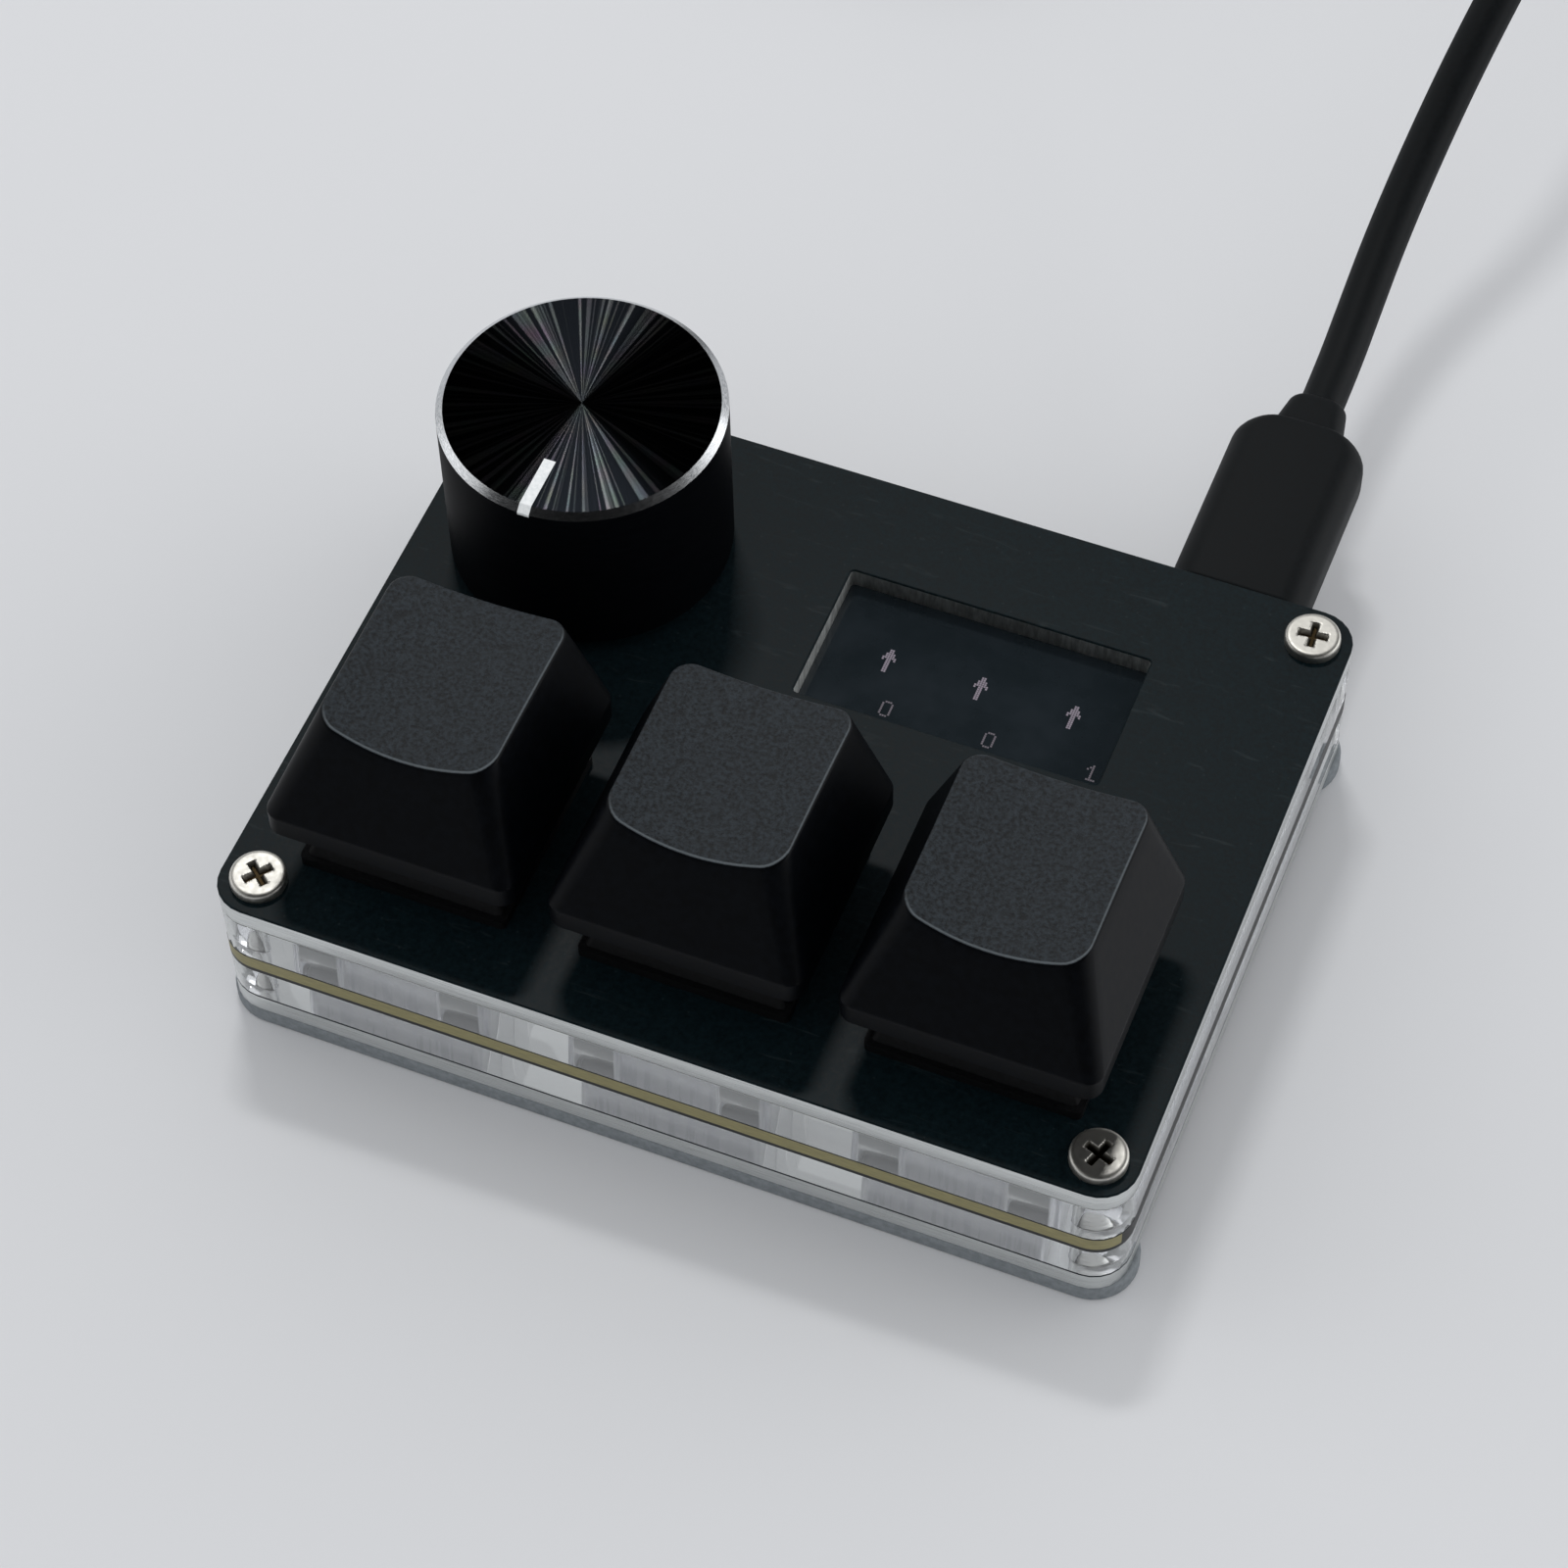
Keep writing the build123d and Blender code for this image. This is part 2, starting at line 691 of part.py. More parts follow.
def keycap():
    """A hollow cap: upright band, sides sloping to a smaller top, a dished top and a cross socket."""
    over = cap_front_height + cap_rib_height
    ceiling = cap_rear_height - cap_rear_dish - cap_roof - (cap_front_dish - cap_rear_dish) / 2
    band = loft([cap_section(0, 0, cap_corner_radius), cap_section(cap_band_height, 0, cap_corner_radius)])
    slope = loft(
        [cap_section(cap_band_height, 0, cap_corner_radius), cap_section(over, 0, cap_top_corner_radius)]
    )
    top = cap_low + over + cut_overshoot
    front_y = cap_top_front - cut_overshoot
    rear_y = cap_top_rear + cut_overshoot
    dish = loft(
        [
            dish_profile(front_y, cap_front_height, cap_front_dish, top),
            dish_profile(rear_y, cap_rear_height, cap_rear_dish, top),
        ],
        ruled=True,
    )
    cap = band + slope - dish
    inside = cap_inner_corner_radius
    cap -= loft([cap_section(0, cap_wall, inside), cap_section(cap_band_height, cap_wall, inside)])
    cap -= loft([cap_section(cap_band_height, cap_wall, inside), cap_section(ceiling, cap_wall, inside)])
    ceiling_z = cap_low + ceiling
    post = round_bar(0, 0, stem_shoulder_top, ceiling_z, cap_post_diameter)
    rib_low = ceiling_z - cap_rib_height
    rib_depth = cap_section(ceiling, cap_wall, inside).bounding_box()
    ribs = block(0, rib_depth.center().Y, rib_low, ceiling_z, cap_rib_thickness, rib_depth.size.Y)
    ribs += block(0, 0, rib_low, ceiling_z, rib_depth.size.X, cap_rib_thickness)
    cap += post + ribs
    span = stem_cross_span + 2 * cap_socket_clearance
    thickness = stem_cross_thickness + 2 * cap_socket_clearance
    cap -= cross(stem_shoulder_top - cut_overshoot, stem_top + cap_socket_end_gap, span, thickness)
    return cap


# ---------------------------------------------------------------- knob
def turned(points, x, y):
    """A solid of revolution about the upright line through x and y, from radius and height pairs."""
    profile = Plane.XZ * make_face(Polyline(*points, close=True))
    return Pos(x, y, 0) * revolve(profile, Axis.Z)


def pointer_line(clearance):
    """The straight pointer inlay, from inside the rim to the knob's edge, facing the front."""
    length = knob_diameter / 2 - pointer_start
    y = knob_y - pointer_start - length / 2
    low = knob_top - pointer_depth
    return block(knob_x, y, low, knob_top + clearance, pointer_width, length + clearance)


def knob_shell():
    outer = knob_diameter / 2
    bore = insert_diameter / 2 + insert_fit
    recess = knob_recess_diameter / 2
    recess_top = knob_low + knob_recess_depth
    shell = turned(
        [
            (recess, knob_low),
            (outer, knob_low),
            (outer, knob_top - knob_chamfer_drop),
            (outer - knob_chamfer_width, knob_top),
            (0, knob_top),
            (0, knob_ceiling),
            (bore, knob_ceiling),
            (bore, recess_top),
            (recess, recess_top),
        ],
        knob_x,
        knob_y,
    )
    return shell - pointer_line(cut_overshoot)


def knob_pointer():
    """The inlay, trimmed to the knob's chamfered rim."""
    outer = knob_diameter / 2
    rim = turned(
        [
            (0, knob_low),
            (outer, knob_low),
            (outer, knob_top - knob_chamfer_drop),
            (outer - knob_chamfer_width, knob_top),
            (0, knob_top),
        ],
        knob_x,
        knob_y,
    )
    return pointer_line(0) & rim


def flatted_bar(low, top, diameter, flat, flat_low):
    """A shaft on the knob's axis, with a flat along it above the height flat_low."""
    bar = round_bar(knob_x, knob_y, low, top, diameter)
    y = knob_y + diameter - flat
    return bar - block(knob_x, y, flat_low, top + cut_overshoot, 2 * diameter, diameter)


def knob_insert():
    """Plastic sleeve pressed into the knob, with a D-shaped bore for the shaft."""
    socket_diameter = shaft_diameter + 2 * shaft_socket_clearance
    sleeve = round_bar(knob_x, knob_y, insert_low, knob_ceiling, insert_diameter)
    low = insert_low - cut_overshoot
    return sleeve - flatted_bar(low, shaft_top + shaft_end_gap, socket_diameter, shaft_flat, low)


# ---------------------------------------------------------------- encoder
def encoder_pin_places():
    """Three pins behind the encoder and two in front."""
    reach = encoder_depth / 2 + encoder_pin_reach
    rear = [(knob_x + i * encoder_pin_pitch, knob_y + reach) for i in (-1, 0, 1)]
    front = [(knob_x + i * encoder_pin_pitch, knob_y - reach) for i in (-1, 1)]
    return rear + front


def encoder_leg_places():
    reach = encoder_width / 2 + encoder_leg_thickness / 2
    return [(knob_x - reach, knob_y), (knob_x + reach, knob_y)]


def encoder_base():
    """Moulded base on the board, bored for the push plunger."""
    base = block(knob_x, knob_y, board_top, encoder_base_top, encoder_width, encoder_depth)
    bore = plunger_diameter + 2 * plunger_fit
    return drill(base, [(knob_x, knob_y)], board_top, encoder_base_top, bore)


def encoder_cover():
    """Metal can over the base, with two legs that go through the board."""
    can = block(knob_x, knob_y, encoder_base_top, plate_top, encoder_width, encoder_depth)
    cavity_low = encoder_base_top - cut_overshoot
    can -= round_bar(knob_x, knob_y, cavity_low, cover_roof_low, encoder_cavity_diameter)
    can = drill(can, [(knob_x, knob_y)], cover_roof_low, plate_top, bushing_diameter)
    leg_top = plate_low - encoder_leg_below_plate
    leg_low = board_low - encoder_leg_drop
    for x, y in encoder_leg_places():
        can += block(x, y, leg_low, leg_top, encoder_leg_thickness, encoder_leg_width)
    return can


def encoder_bushing():
    """Flanged bushing through the can's roof, in which the shaft turns."""
    flange_low = cover_roof_low - bushing_flange_thickness
    bushing = round_bar(knob_x, knob_y, flange_low, cover_roof_low, bushing_flange_diameter)
    bushing += round_bar(knob_x, knob_y, cover_roof_low, bushing_top, bushing_diameter)
    bore = shaft_diameter + 2 * shaft_fit
    return drill(bushing, [(knob_x, knob_y)], flange_low, bushing_top, bore)


def encoder_shaft():
    """Shaft with a flat for the knob and the wiper disc at its foot."""
    shaft = flatted_bar(wiper_low, shaft_top, shaft_diameter, shaft_flat, shaft_top - shaft_flat_length)
    return shaft + round_bar(knob_x, knob_y, wiper_low, wiper_top, wiper_diameter)


def encoder_plunger():
    """Push button under the shaft."""
    return round_bar(knob_x, knob_y, board_top + plunger_floor_gap, wiper_low, plunger_diameter)


def encoder_pins():
    """Bent pins: out of the base, then down through the board."""
    pins = []
    run_low = board_top + encoder_pin_rise
    run_top = run_low + encoder_pin_thickness
    tip = board_low - board_pin_length
    run_length = encoder_pin_reach + encoder_pin_thickness / 2
    for x, y in encoder_pin_places():
        side = math.copysign(1, y - knob_y)
        run_y = knob_y + side * (encoder_depth + run_length) / 2
        pin = block(x, y, tip, run_top, encoder_pin_width, encoder_pin_thickness)
        pin += block(x, run_y, run_low, run_top, encoder_pin_width, run_length)
        pins.append(pin)
    return pins


# ---------------------------------------------------------------- display
flex_bend_radius = (glass_low - board_top) / 2


def flex_front_y():
    """How far forward the flex bends in front of the glass."""
    return display_front_y - flex_bend_overhang - flex_bend_radius


def display_glass():
    y = display_rear_y - display_depth / 2
    return block(window_x, y, glass_low, plate_low, display_width, display_depth)


def display_back_glass():
    """The shorter rear glass; the ledge in front of it carries the flex."""
    y = display_rear_y - display_back_depth / 2
    return block(window_x, y, display_low, glass_low, display_width, display_back_depth)


def display_foam():
    y = display_rear_y - display_back_depth / 2
    return block(window_x, y, board_top, display_low, foam_width, foam_depth)


def display_flex():
    """Ribbon from the glass ledge, round a half turn, to its solder pads on the board."""
    bend_y = display_front_y - flex_bend_overhang
    mid_z = (glass_low + board_top) / 2
    inner = flex_bend_radius - flex_thickness
    bond_y = display_front_y + flex_bond_length
    tail_y = bend_y + flex_tail_length
    outline = Polyline((bend_y, glass_low), (bond_y, glass_low), (bond_y, glass_low - flex_thickness))
    outline += Line((bond_y, glass_low - flex_thickness), (bend_y, glass_low - flex_thickness))
    outline += ThreePointArc(
        (bend_y, mid_z + inner), (bend_y - inner, mid_z), (bend_y, mid_z - inner)
    )
    outline += Polyline(
        (bend_y, mid_z - inner), (tail_y, mid_z - inner), (tail_y, board_top), (bend_y, board_top)
    )
    outline += ThreePointArc(
        (bend_y, board_top), (bend_y - flex_bend_radius, mid_z), (bend_y, glass_low)
    )
    ribbon = extrude(Plane.YZ * make_face(outline), amount=flex_width)
    return Pos(window_x - flex_width / 2, 0, 0) * ribbon


# ---------------------------------------------------------------- socket, plug and cable
def socket_leg_places():
    """Four legs of the socket's shell, two on each side."""
    side = (socket_width - socket_wall) / 2
    front = socket_mouth_y - socket_leg_offset
    rear = front - socket_leg_spacing
    return [(socket_x + x, y) for x in (-side, side) for y in (front, rear)]


def usb_receptacle():
    """Rounded metal shell on the board, open at the rear, with a back wall and four legs."""
    mouth = rearward(socket_x, socket_mouth_y, socket_z)
    shell = extrude(mouth * SlotOverall(socket_width, socket_height), amount=-socket_length)
    inside = SlotOverall(socket_width - 2 * socket_wall, socket_height - 2 * socket_wall)
    shell -= extrude(mouth * inside, amount=socket_back_wall - socket_length)
    for x, y in socket_leg_places():
        shell += block(x, y, board_low, socket_z, socket_wall, socket_leg_width)
    return shell


def usb_tongue():
    """The contact tongue that stands in the middle of the socket."""
    back_y = socket_mouth_y - socket_length + socket_back_wall
    root = rearward(socket_x, back_y, socket_z)
    return extrude(root * Rectangle(tongue_width, tongue_thickness), amount=tongue_length)


def plug_shell():
    """The metal nose of the plug, inside the socket."""
    root = rearward(socket_x, overmould_y, socket_z)
    reach = plug_reach + overmould_gap
    shell = extrude(root * SlotOverall(plug_width, plug_height), amount=-reach)
    inside = SlotOverall(plug_width - 2 * plug_wall, plug_height - 2 * plug_wall)
    return shell - extrude(root * inside, amount=-reach)


def plug_overmould():
    """The grip: a soft-edged block, rounder at its rear corners."""
    front = rearward(socket_x, overmould_y, socket_z)
    outline = RectangleRounded(overmould_width, overmould_height, overmould_rounding)
    grip = extrude(front * outline, amount=overmould_length)
    plan = Pos(socket_x, collar_y - overmould_length / 2, socket_z - overmould_height) * extrude(
        RectangleRounded(overmould_width, overmould_length, overmould_plan_rounding),
        amount=2 * overmould_height,
    )
    square_front = Pos(socket_x, overmould_y + overmould_length / 4, socket_z) * Box(
        2 * overmould_width, overmould_length / 2, 2 * overmould_height
    )
    return grip & (plan + square_front)


def plug_collar():
    """The short strain relief between the grip and the cable."""
    root = rearward(socket_x, collar_y, socket_z) * RectangleRounded(
        collar_width, collar_height, collar_rounding
    )
    end = rearward(socket_x, cable_y, socket_z) * RectangleRounded(
        collar_end_width, collar_end_height, collar_rounding
    )
    return loft([root, end])


def bend_radii(points):
    """The largest arc that each corner of a route leaves room for."""
    radii = []
    for before, corner, after in zip(points, points[1:], points[2:]):
        run_in = Vector(*corner) - Vector(*before)
        run_out = Vector(*after) - Vector(*corner)
        half_turn = math.radians(run_in.get_angle(run_out)) / 2
        shorter = min(run_in.length, run_out.length)
        radii.append(bend_share * shorter / math.tan(half_turn))
    return radii


def cable_run(name, points):
    """Round cable along straight runs joined by tangent arcs."""
    radii = bend_radii(points)
    path = FilletPolyline(*points, radius=radii)
    section = Plane(origin=path @ 0, z_dir=path % 0) * Circle(cable_diameter / 2)
    tube = sweep(section, path=path)
    expected = path.length * math.pi * cable_diameter**2 / 4
    fullness = tube.volume / expected
    print(name, "length", round(path.length, 2), "volume / (section x length)", round(fullness, 4))
    print("  smallest radius", round(min(radii), 1))
    if min(radii) < minimum_bend_diameters * cable_diameter:
        print("  a bend is too tight")
    return tube


def cable_coil():
    """The outer shape of the coiled cable."""
    band = Rectangle(coil_band_width, coil_height)
    band = chamfer(band.vertices(), coil_chamfer)
    band = Pos(coil_mean_diameter / 2, coil_lift + coil_height / 2) * band
    return Pos(coil_x, coil_y, 0) * revolve(Plane.XZ * band, Axis.Z)


def coil_tie():
    """A strap round the rear of the coil."""
    y = coil_y + coil_mean_diameter / 2
    depth = coil_band_width + 2 * tie_gap
    outer = block(coil_x, y, 0, coil_height + 2 * tie_thickness, tie_width, depth + 2 * tie_thickness)
    return outer - block(coil_x, y, coil_lift, coil_lift + coil_height, 2 * tie_width, depth)


def far_plug_overmould():
    """The flat grip of the far plug, lying on the table, with a tapered relief."""
    x = tail_x
    z = tail_z
    back_y = tail_end_y - far_relief_length
    grip = Pos(x, back_y - far_overmould_length / 2, z) * Box(
        far_overmould_width, far_overmould_length, far_overmould_height
    )
    grip = fillet(grip.edges().filter_by(Axis.Y), far_overmould_rounding)
    root = rearward(x, back_y, z) * Circle(far_relief_width / 2)
    end = rearward(x, tail_end_y, z) * Circle(far_relief_end_width / 2)
    return grip + loft([root, end])


def far_plug_shell():
    """The rectangular metal nose of the far plug, with its contact board inside."""
    x = tail_x
    z = tail_z
    front_y = tail_end_y - far_relief_length - far_overmould_length
    mouth = rearward(x, front_y, z)
    outline = RectangleRounded(far_shell_width, far_shell_height, far_shell_corner_radius)
    shell = extrude(mouth * outline, amount=-far_shell_length)
    width = far_shell_width - 2 * far_shell_wall
    height = far_shell_height - 2 * far_shell_wall
    shell -= extrude(mouth * Rectangle(width, height), amount=-far_shell_length)
    mid_y = front_y - far_shell_length / 2
    filling = Pos(x, mid_y, z + height / 4) * Box(width, far_shell_length, height / 2)
    return shell + filling


# ---------------------------------------------------------------- assembly
nodes = {
    "top_plate": top_plate(),
    "upper_spacer": upper_spacer(),
    "circuit_board": circuit_board(),
    "lower_spacer": lower_spacer(),
    "bottom_plate": bottom_plate(),
    "front_foot_strip": foot_strip(-1),
    "rear_foot_strip": foot_strip(1),
    "corner_screws": [corner_screw(x, y) for x, y in screw_places()],
    "knob_shell": knob_shell(),
    "knob_pointer": knob_pointer(),
    "knob_insert": knob_insert(),
    "encoder_base": encoder_base(),
    "encoder_cover": encoder_cover(),
    "encoder_bushing": encoder_bushing(),
    "encoder_shaft": encoder_shaft(),
    "encoder_plunger": encoder_plunger(),
    "encoder_pins": encoder_pins(),
    "display_glass": display_glass(),
    "display_back_glass": display_back_glass(),
    "display_foam": display_foam(),
    "display_flex": display_flex(),
    "microcontroller": under_board(chip_x, chip_y, chip_width, chip_width, chip_height),
    "voltage_regulator": under_board(
        regulator_x, regulator_y, regulator_width, regulator_depth, regulator_height
    ),
    "crystal": under_board(crystal_x, crystal_y, crystal_width, crystal_depth, crystal_height),
    "chip_capacitors": passive_row(capacitor_row_x, capacitor_row_y),
    "chip_resistors": passive_row(resistor_row_x, resistor_row_y),
    "key_diodes": key_diodes(),
    "usb_receptacle": usb_receptacle(),
    "usb_tongue": usb_tongue(),
    "plug_shell": plug_shell(),
    "plug_overmould": plug_overmould(),
    "plug_collar": plug_collar(),
    "cable_tube": cable_run("cable_tube", cable_points),
    "cable_coil": cable_coil(),
    "cable_tail": cable_run("cable_tail", tail_points),
    "coil_tie": coil_tie(),
    "far_plug_overmould": far_plug_overmould(),
    "far_plug_shell": far_plug_shell(),
}

key_pieces = {
    "switch_base": switch_base(),
    "switch_cover": switch_cover(),
    "switch_stem": switch_stem(),
    "switch_spring": switch_spring(),
    "switch_contacts": switch_contacts(),
    "keycap": keycap(),
}
for key_name, (x, y) in zip(key_names, key_places):
    for piece_name, piece in key_pieces.items():
        solids = piece if isinstance(piece, list) else [piece]
        nodes[f"{piece_name}_{key_name}"] = [Pos(x, y, 0) * solid for solid in solids]

os.makedirs("parts", exist_ok=True)
for node_name, shape in nodes.items():
    solids = shape if isinstance(shape, list) else [shape]
    export_step(Compound(children=solids) if len(solids) > 1 else solids[0], f"parts/{node_name}.step")
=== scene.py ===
import math

import bpy
import numpy as np
from bpy.props import FloatProperty, FloatVectorProperty, IntProperty, PointerProperty
from mathutils import Matrix, Vector
from mathutils.geometry import tessellate_polygon


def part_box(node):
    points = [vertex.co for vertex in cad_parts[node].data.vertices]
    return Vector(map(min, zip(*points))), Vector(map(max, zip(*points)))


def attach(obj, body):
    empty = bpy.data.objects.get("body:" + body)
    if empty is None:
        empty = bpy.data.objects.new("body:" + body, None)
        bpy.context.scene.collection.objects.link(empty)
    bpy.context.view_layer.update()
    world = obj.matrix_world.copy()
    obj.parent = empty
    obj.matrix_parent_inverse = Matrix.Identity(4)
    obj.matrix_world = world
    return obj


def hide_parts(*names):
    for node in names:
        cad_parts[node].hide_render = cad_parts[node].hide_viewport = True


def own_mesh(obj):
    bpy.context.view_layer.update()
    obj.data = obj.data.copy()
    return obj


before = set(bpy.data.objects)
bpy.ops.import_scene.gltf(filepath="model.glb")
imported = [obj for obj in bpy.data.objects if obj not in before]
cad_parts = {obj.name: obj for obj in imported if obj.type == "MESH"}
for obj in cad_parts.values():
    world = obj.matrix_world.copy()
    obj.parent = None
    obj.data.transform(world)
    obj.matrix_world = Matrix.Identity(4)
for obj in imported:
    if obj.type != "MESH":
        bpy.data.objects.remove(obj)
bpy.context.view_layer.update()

bl_info = {
    "name": "Layered Keypad",
    "version": (1, 0, 0),
    "blender": (4, 5, 0),
    "location": "3D View > Sidebar > Keypad",
    "description": "Dresses the frame of a small layered keypad: plates, keys, knob, display and lead",
    "category": "Object",
}

MM = 0.001
KEYS = ("left", "middle", "right")


# ---------------------------------------------------------------- colours, nodes and pieces
def linear(code):
    """An sRGB hex colour as linear red, green and blue."""
    channels = np.array([int(code[i : i + 2], 16) for i in (1, 3, 5)]) / 255
    curved = ((channels + 0.055) / 1.055) ** 2.4
    return np.where(channels <= 0.04045, channels / 12.92, curved).tolist()


def opaque(colour):
    """The same colour with full alpha, as colour sockets take it."""
    return (*colour[:3], 1.0)


def times(colour, factor):
    """A colour made darker or brighter, with no part over one."""
    return [min(1.0, part * factor) for part in colour]


def feed(tree, node, inputs):
    """Gives each input of a node a value, or links it to another node's output."""
    for name, value in inputs.items():
        if isinstance(value, bpy.types.NodeSocket):
            tree.links.new(value, node.inputs[name])
        else:
            node.inputs[name].default_value = value


def add_node(tree, kind, inputs=None, **settings):
    """A new node with its settings and its inputs."""
    node = tree.nodes.new(kind)
    for name, value in settings.items():
        setattr(node, name, value)
    feed(tree, node, inputs or {})
    return node


def object_place(tree):
    """The place on the piece, which the textures follow."""
    return add_node(tree, "ShaderNodeTexCoord").outputs["Object"]


def stretched(tree, place, scale, turn=0.0):
    """A place turned about the upright and scaled along each direction."""
    inputs = {"Vector": place, "Scale": scale, "Rotation": (0, 0, turn)}
    return add_node(tree, "ShaderNodeMapping", inputs).outputs[0]


def speckle(tree, place, grain, **inputs):
    """Soft noise whose grains have a real size, in millimetres."""
    return add_node(tree, "ShaderNodeTexNoise", {"Vector": place, "Scale": 1 / (grain * MM), **inputs}).outputs[0]


def mixed(tree, share, first, second):
    """The colour that a share gives between two, each a colour or a node's output."""
    ends = [end if isinstance(end, bpy.types.NodeSocket) else opaque(end) for end in (first, second)]
    return add_node(tree, "ShaderNodeMix", {0: share, 6: ends[0], 7: ends[1]}, data_type="RGBA").outputs[2]


def remapped(tree, value, start=(0.0, 1.0), end=(0.0, 1.0)):
    """A value carried from one range to another, and held inside it."""
    limits = {"From Min": start[0], "From Max": start[1], "To Min": end[0], "To Max": end[1]}
    return add_node(tree, "ShaderNodeMapRange", {"Value": value, **limits}).outputs[0]


def worked_out(tree, operation, first, second=0.0):
    """The outcome of one operation on two values."""
    return add_node(tree, "ShaderNodeMath", {0: first, 1: second}, operation=operation).outputs[0]


def raised(tree, height, distance):
    """The surface's direction under a relief whose depth is given in millimetres."""
    return add_node(tree, "ShaderNodeBump", {"Height": height, "Distance": distance * MM}).outputs[0]


def start_finish(name):
    """An empty material, its node tree and its Principled shader."""
    finish = bpy.data.materials.new(name)
    finish.use_nodes = True
    tree = finish.node_tree
    tree.nodes.clear()
    shader = add_node(tree, "ShaderNodeBsdfPrincipled")
    add_node(tree, "ShaderNodeOutputMaterial", {"Surface": shader.outputs[0]})
    return finish, tree, shader


def place_piece(name, points, faces, body, finishes, replaced=(), face_slots=None, rim=None, slot=None):
    """A mesh object at the origin that rides on a body.

    The slot argument is not used. Edges whose two ends are rim points are kept sharp.
    """
    mesh = bpy.data.meshes.new(name)
    mesh.from_pydata(np.asarray(points).tolist(), [], [list(face) for face in faces])
    for key in finishes:
        mesh.materials.append(finish_of(key))
    if face_slots is not None:
        mesh.polygons.foreach_set("material_index", np.asarray(face_slots, dtype=np.int32))
    mesh.shade_smooth()
    mesh.set_sharp_from_angle(angle=math.radians(35))
    if rim is not None:
        keep_rim_sharp(mesh, rim)
    mesh.update()
    piece = bpy.data.objects.new(name, mesh)
    bpy.context.scene.collection.objects.link(piece)
    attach(piece, body)
    if replaced:
        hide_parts(*replaced)
    return piece


def mark_points(piece, name, values):
    """Stores a value at each of a piece's points, for its finish to read."""
    attribute = piece.data.attributes.new(name, "FLOAT", "POINT")
    attribute.data.foreach_set("value", values.astype(np.float32))


def keep_rim_sharp(mesh, rim):
    """Marks the edges between rim points, where a flat face meets its rounded edge."""
    ends = np.empty(len(mesh.edges) * 2, dtype=np.int32)
    mesh.edges.foreach_get("vertices", ends)
    ends = ends.reshape(-1, 2)
    attribute = mesh.attributes.get("sharp_edge") or mesh.attributes.new("sharp_edge", "BOOLEAN", "EDGE")
    sharp = np.empty(len(ends), dtype=bool)
    attribute.data.foreach_get("value", sharp)
    attribute.data.foreach_set("value", sharp | (rim[ends[:, 0]] & rim[ends[:, 1]]))


def dress_nodes(key, names):
    """Gives CAD pieces that stay as they are their finish."""
    for name in names:
        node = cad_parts[name]
        node.data.materials.clear()
        node.data.materials.append(finish_of(key))


# ---------------------------------------------------------------- surfaces worked out as arrays
def grid_faces(rows, columns, first=0):
    """Quads between neighbouring rows of points. Each row is a loop, so its last column joins its first."""
    row, column = np.meshgrid(np.arange(rows - 1), np.arange(columns), indexing="ij")
    near = first + row * columns + column
    beside = first + row * columns + (column + 1) % columns
    return np.stack([near, near + columns, beside + columns, beside], axis=-1).reshape(-1, 4)


def skin(rings, flip=False):
    """Points and faces of a closed surface through loops of points, with a flat face over each end loop."""
    rows, columns = rings.shape[:2]
    faces = grid_faces(rows, columns).tolist()
    start = list(range(columns))
    end = list(range((rows - 1) * columns, rows * columns))
    faces += [start, end[::-1]]
    if flip:
        faces = [face[::-1] for face in faces]
    return rings.reshape(-1, 3), faces


def joined(*surfaces):
    """Several surfaces as one, with each one's faces counted on from the last one's points."""
    points = np.concatenate([surface[0] for surface in surfaces])
    starts = np.cumsum([0] + [len(surface[0]) for surface in surfaces])
    faces = [
        [index + int(start) for index in face] for surface, start in zip(surfaces, starts) for face in surface[1]
    ]
    return points, faces


def rounded_polygon(corners, radius, steps=6):
    """A loop through square corners, anticlockwise and rounded, and the outward direction at each point.

    A corner turns from the direction it is reached in, u, to the one it is left in, v. Its arc's centre lies a
    radius back along u and a radius on along v, and its points are the centre plus the radius times
    (u sin t - v cos t) for t from 0 to a quarter turn. At an inner corner outwards is the other way.
    """
    corners = np.asarray(corners, dtype=float)
    radius = np.broadcast_to(radius, len(corners))[:, None]
    onward = np.roll(corners, -1, axis=0) - corners
    onward /= np.linalg.norm(onward, axis=1, keepdims=True)
    inward = np.roll(onward, 1, axis=0)
    side = np.sign(inward[:, 0] * onward[:, 1] - inward[:, 1] * onward[:, 0])[:, None, None]
    turn = np.linspace(0, math.pi / 2, steps + 1)[None, :, None]
    direction = inward[:, None] * np.sin(turn) - onward[:, None] * np.cos(turn)
    centre = corners + radius * (onward - inward)
    points = centre[:, None] + radius[:, None] * direction
    return points.reshape(-1, 2), (side * direction).reshape(-1, 2)


def rounded_loop(centre, width, depth, radius, steps=6):
    """A rounded rectangle, anticlockwise, and the outward direction at each of its points."""
    half = np.array([width, depth]) / 2
    signs = np.array([[1, -1], [1, 1], [-1, 1], [-1, -1]])
    return rounded_polygon(np.asarray(centre) + signs * half, radius, steps)


def full_turn(count):
    """Angles that share out a full turn evenly."""
    return np.arange(count) * 2 * math.pi / count


def round_loop(centre, radius, count=40):
    """A circle, anticlockwise, and the outward direction at each of its points."""
    angles = full_turn(count)
    outward = np.stack([np.cos(angles), np.sin(angles)], axis=1)
    return np.asarray(centre) + radius * outward, outward


def edge_profile(low, top, rounding, steps=3):
    """Inset and height down the edge of a sheet: a quarter circle, the wall and the quarter circle below."""
    turn = np.linspace(0, math.pi / 2, steps + 1)
    upper = np.stack([rounding * (1 - np.sin(turn)), top - rounding * (1 - np.cos(turn))], axis=1)
    lower = upper[::-1] * [1, -1] + [0, top + low]
    return np.concatenate([upper, lower])


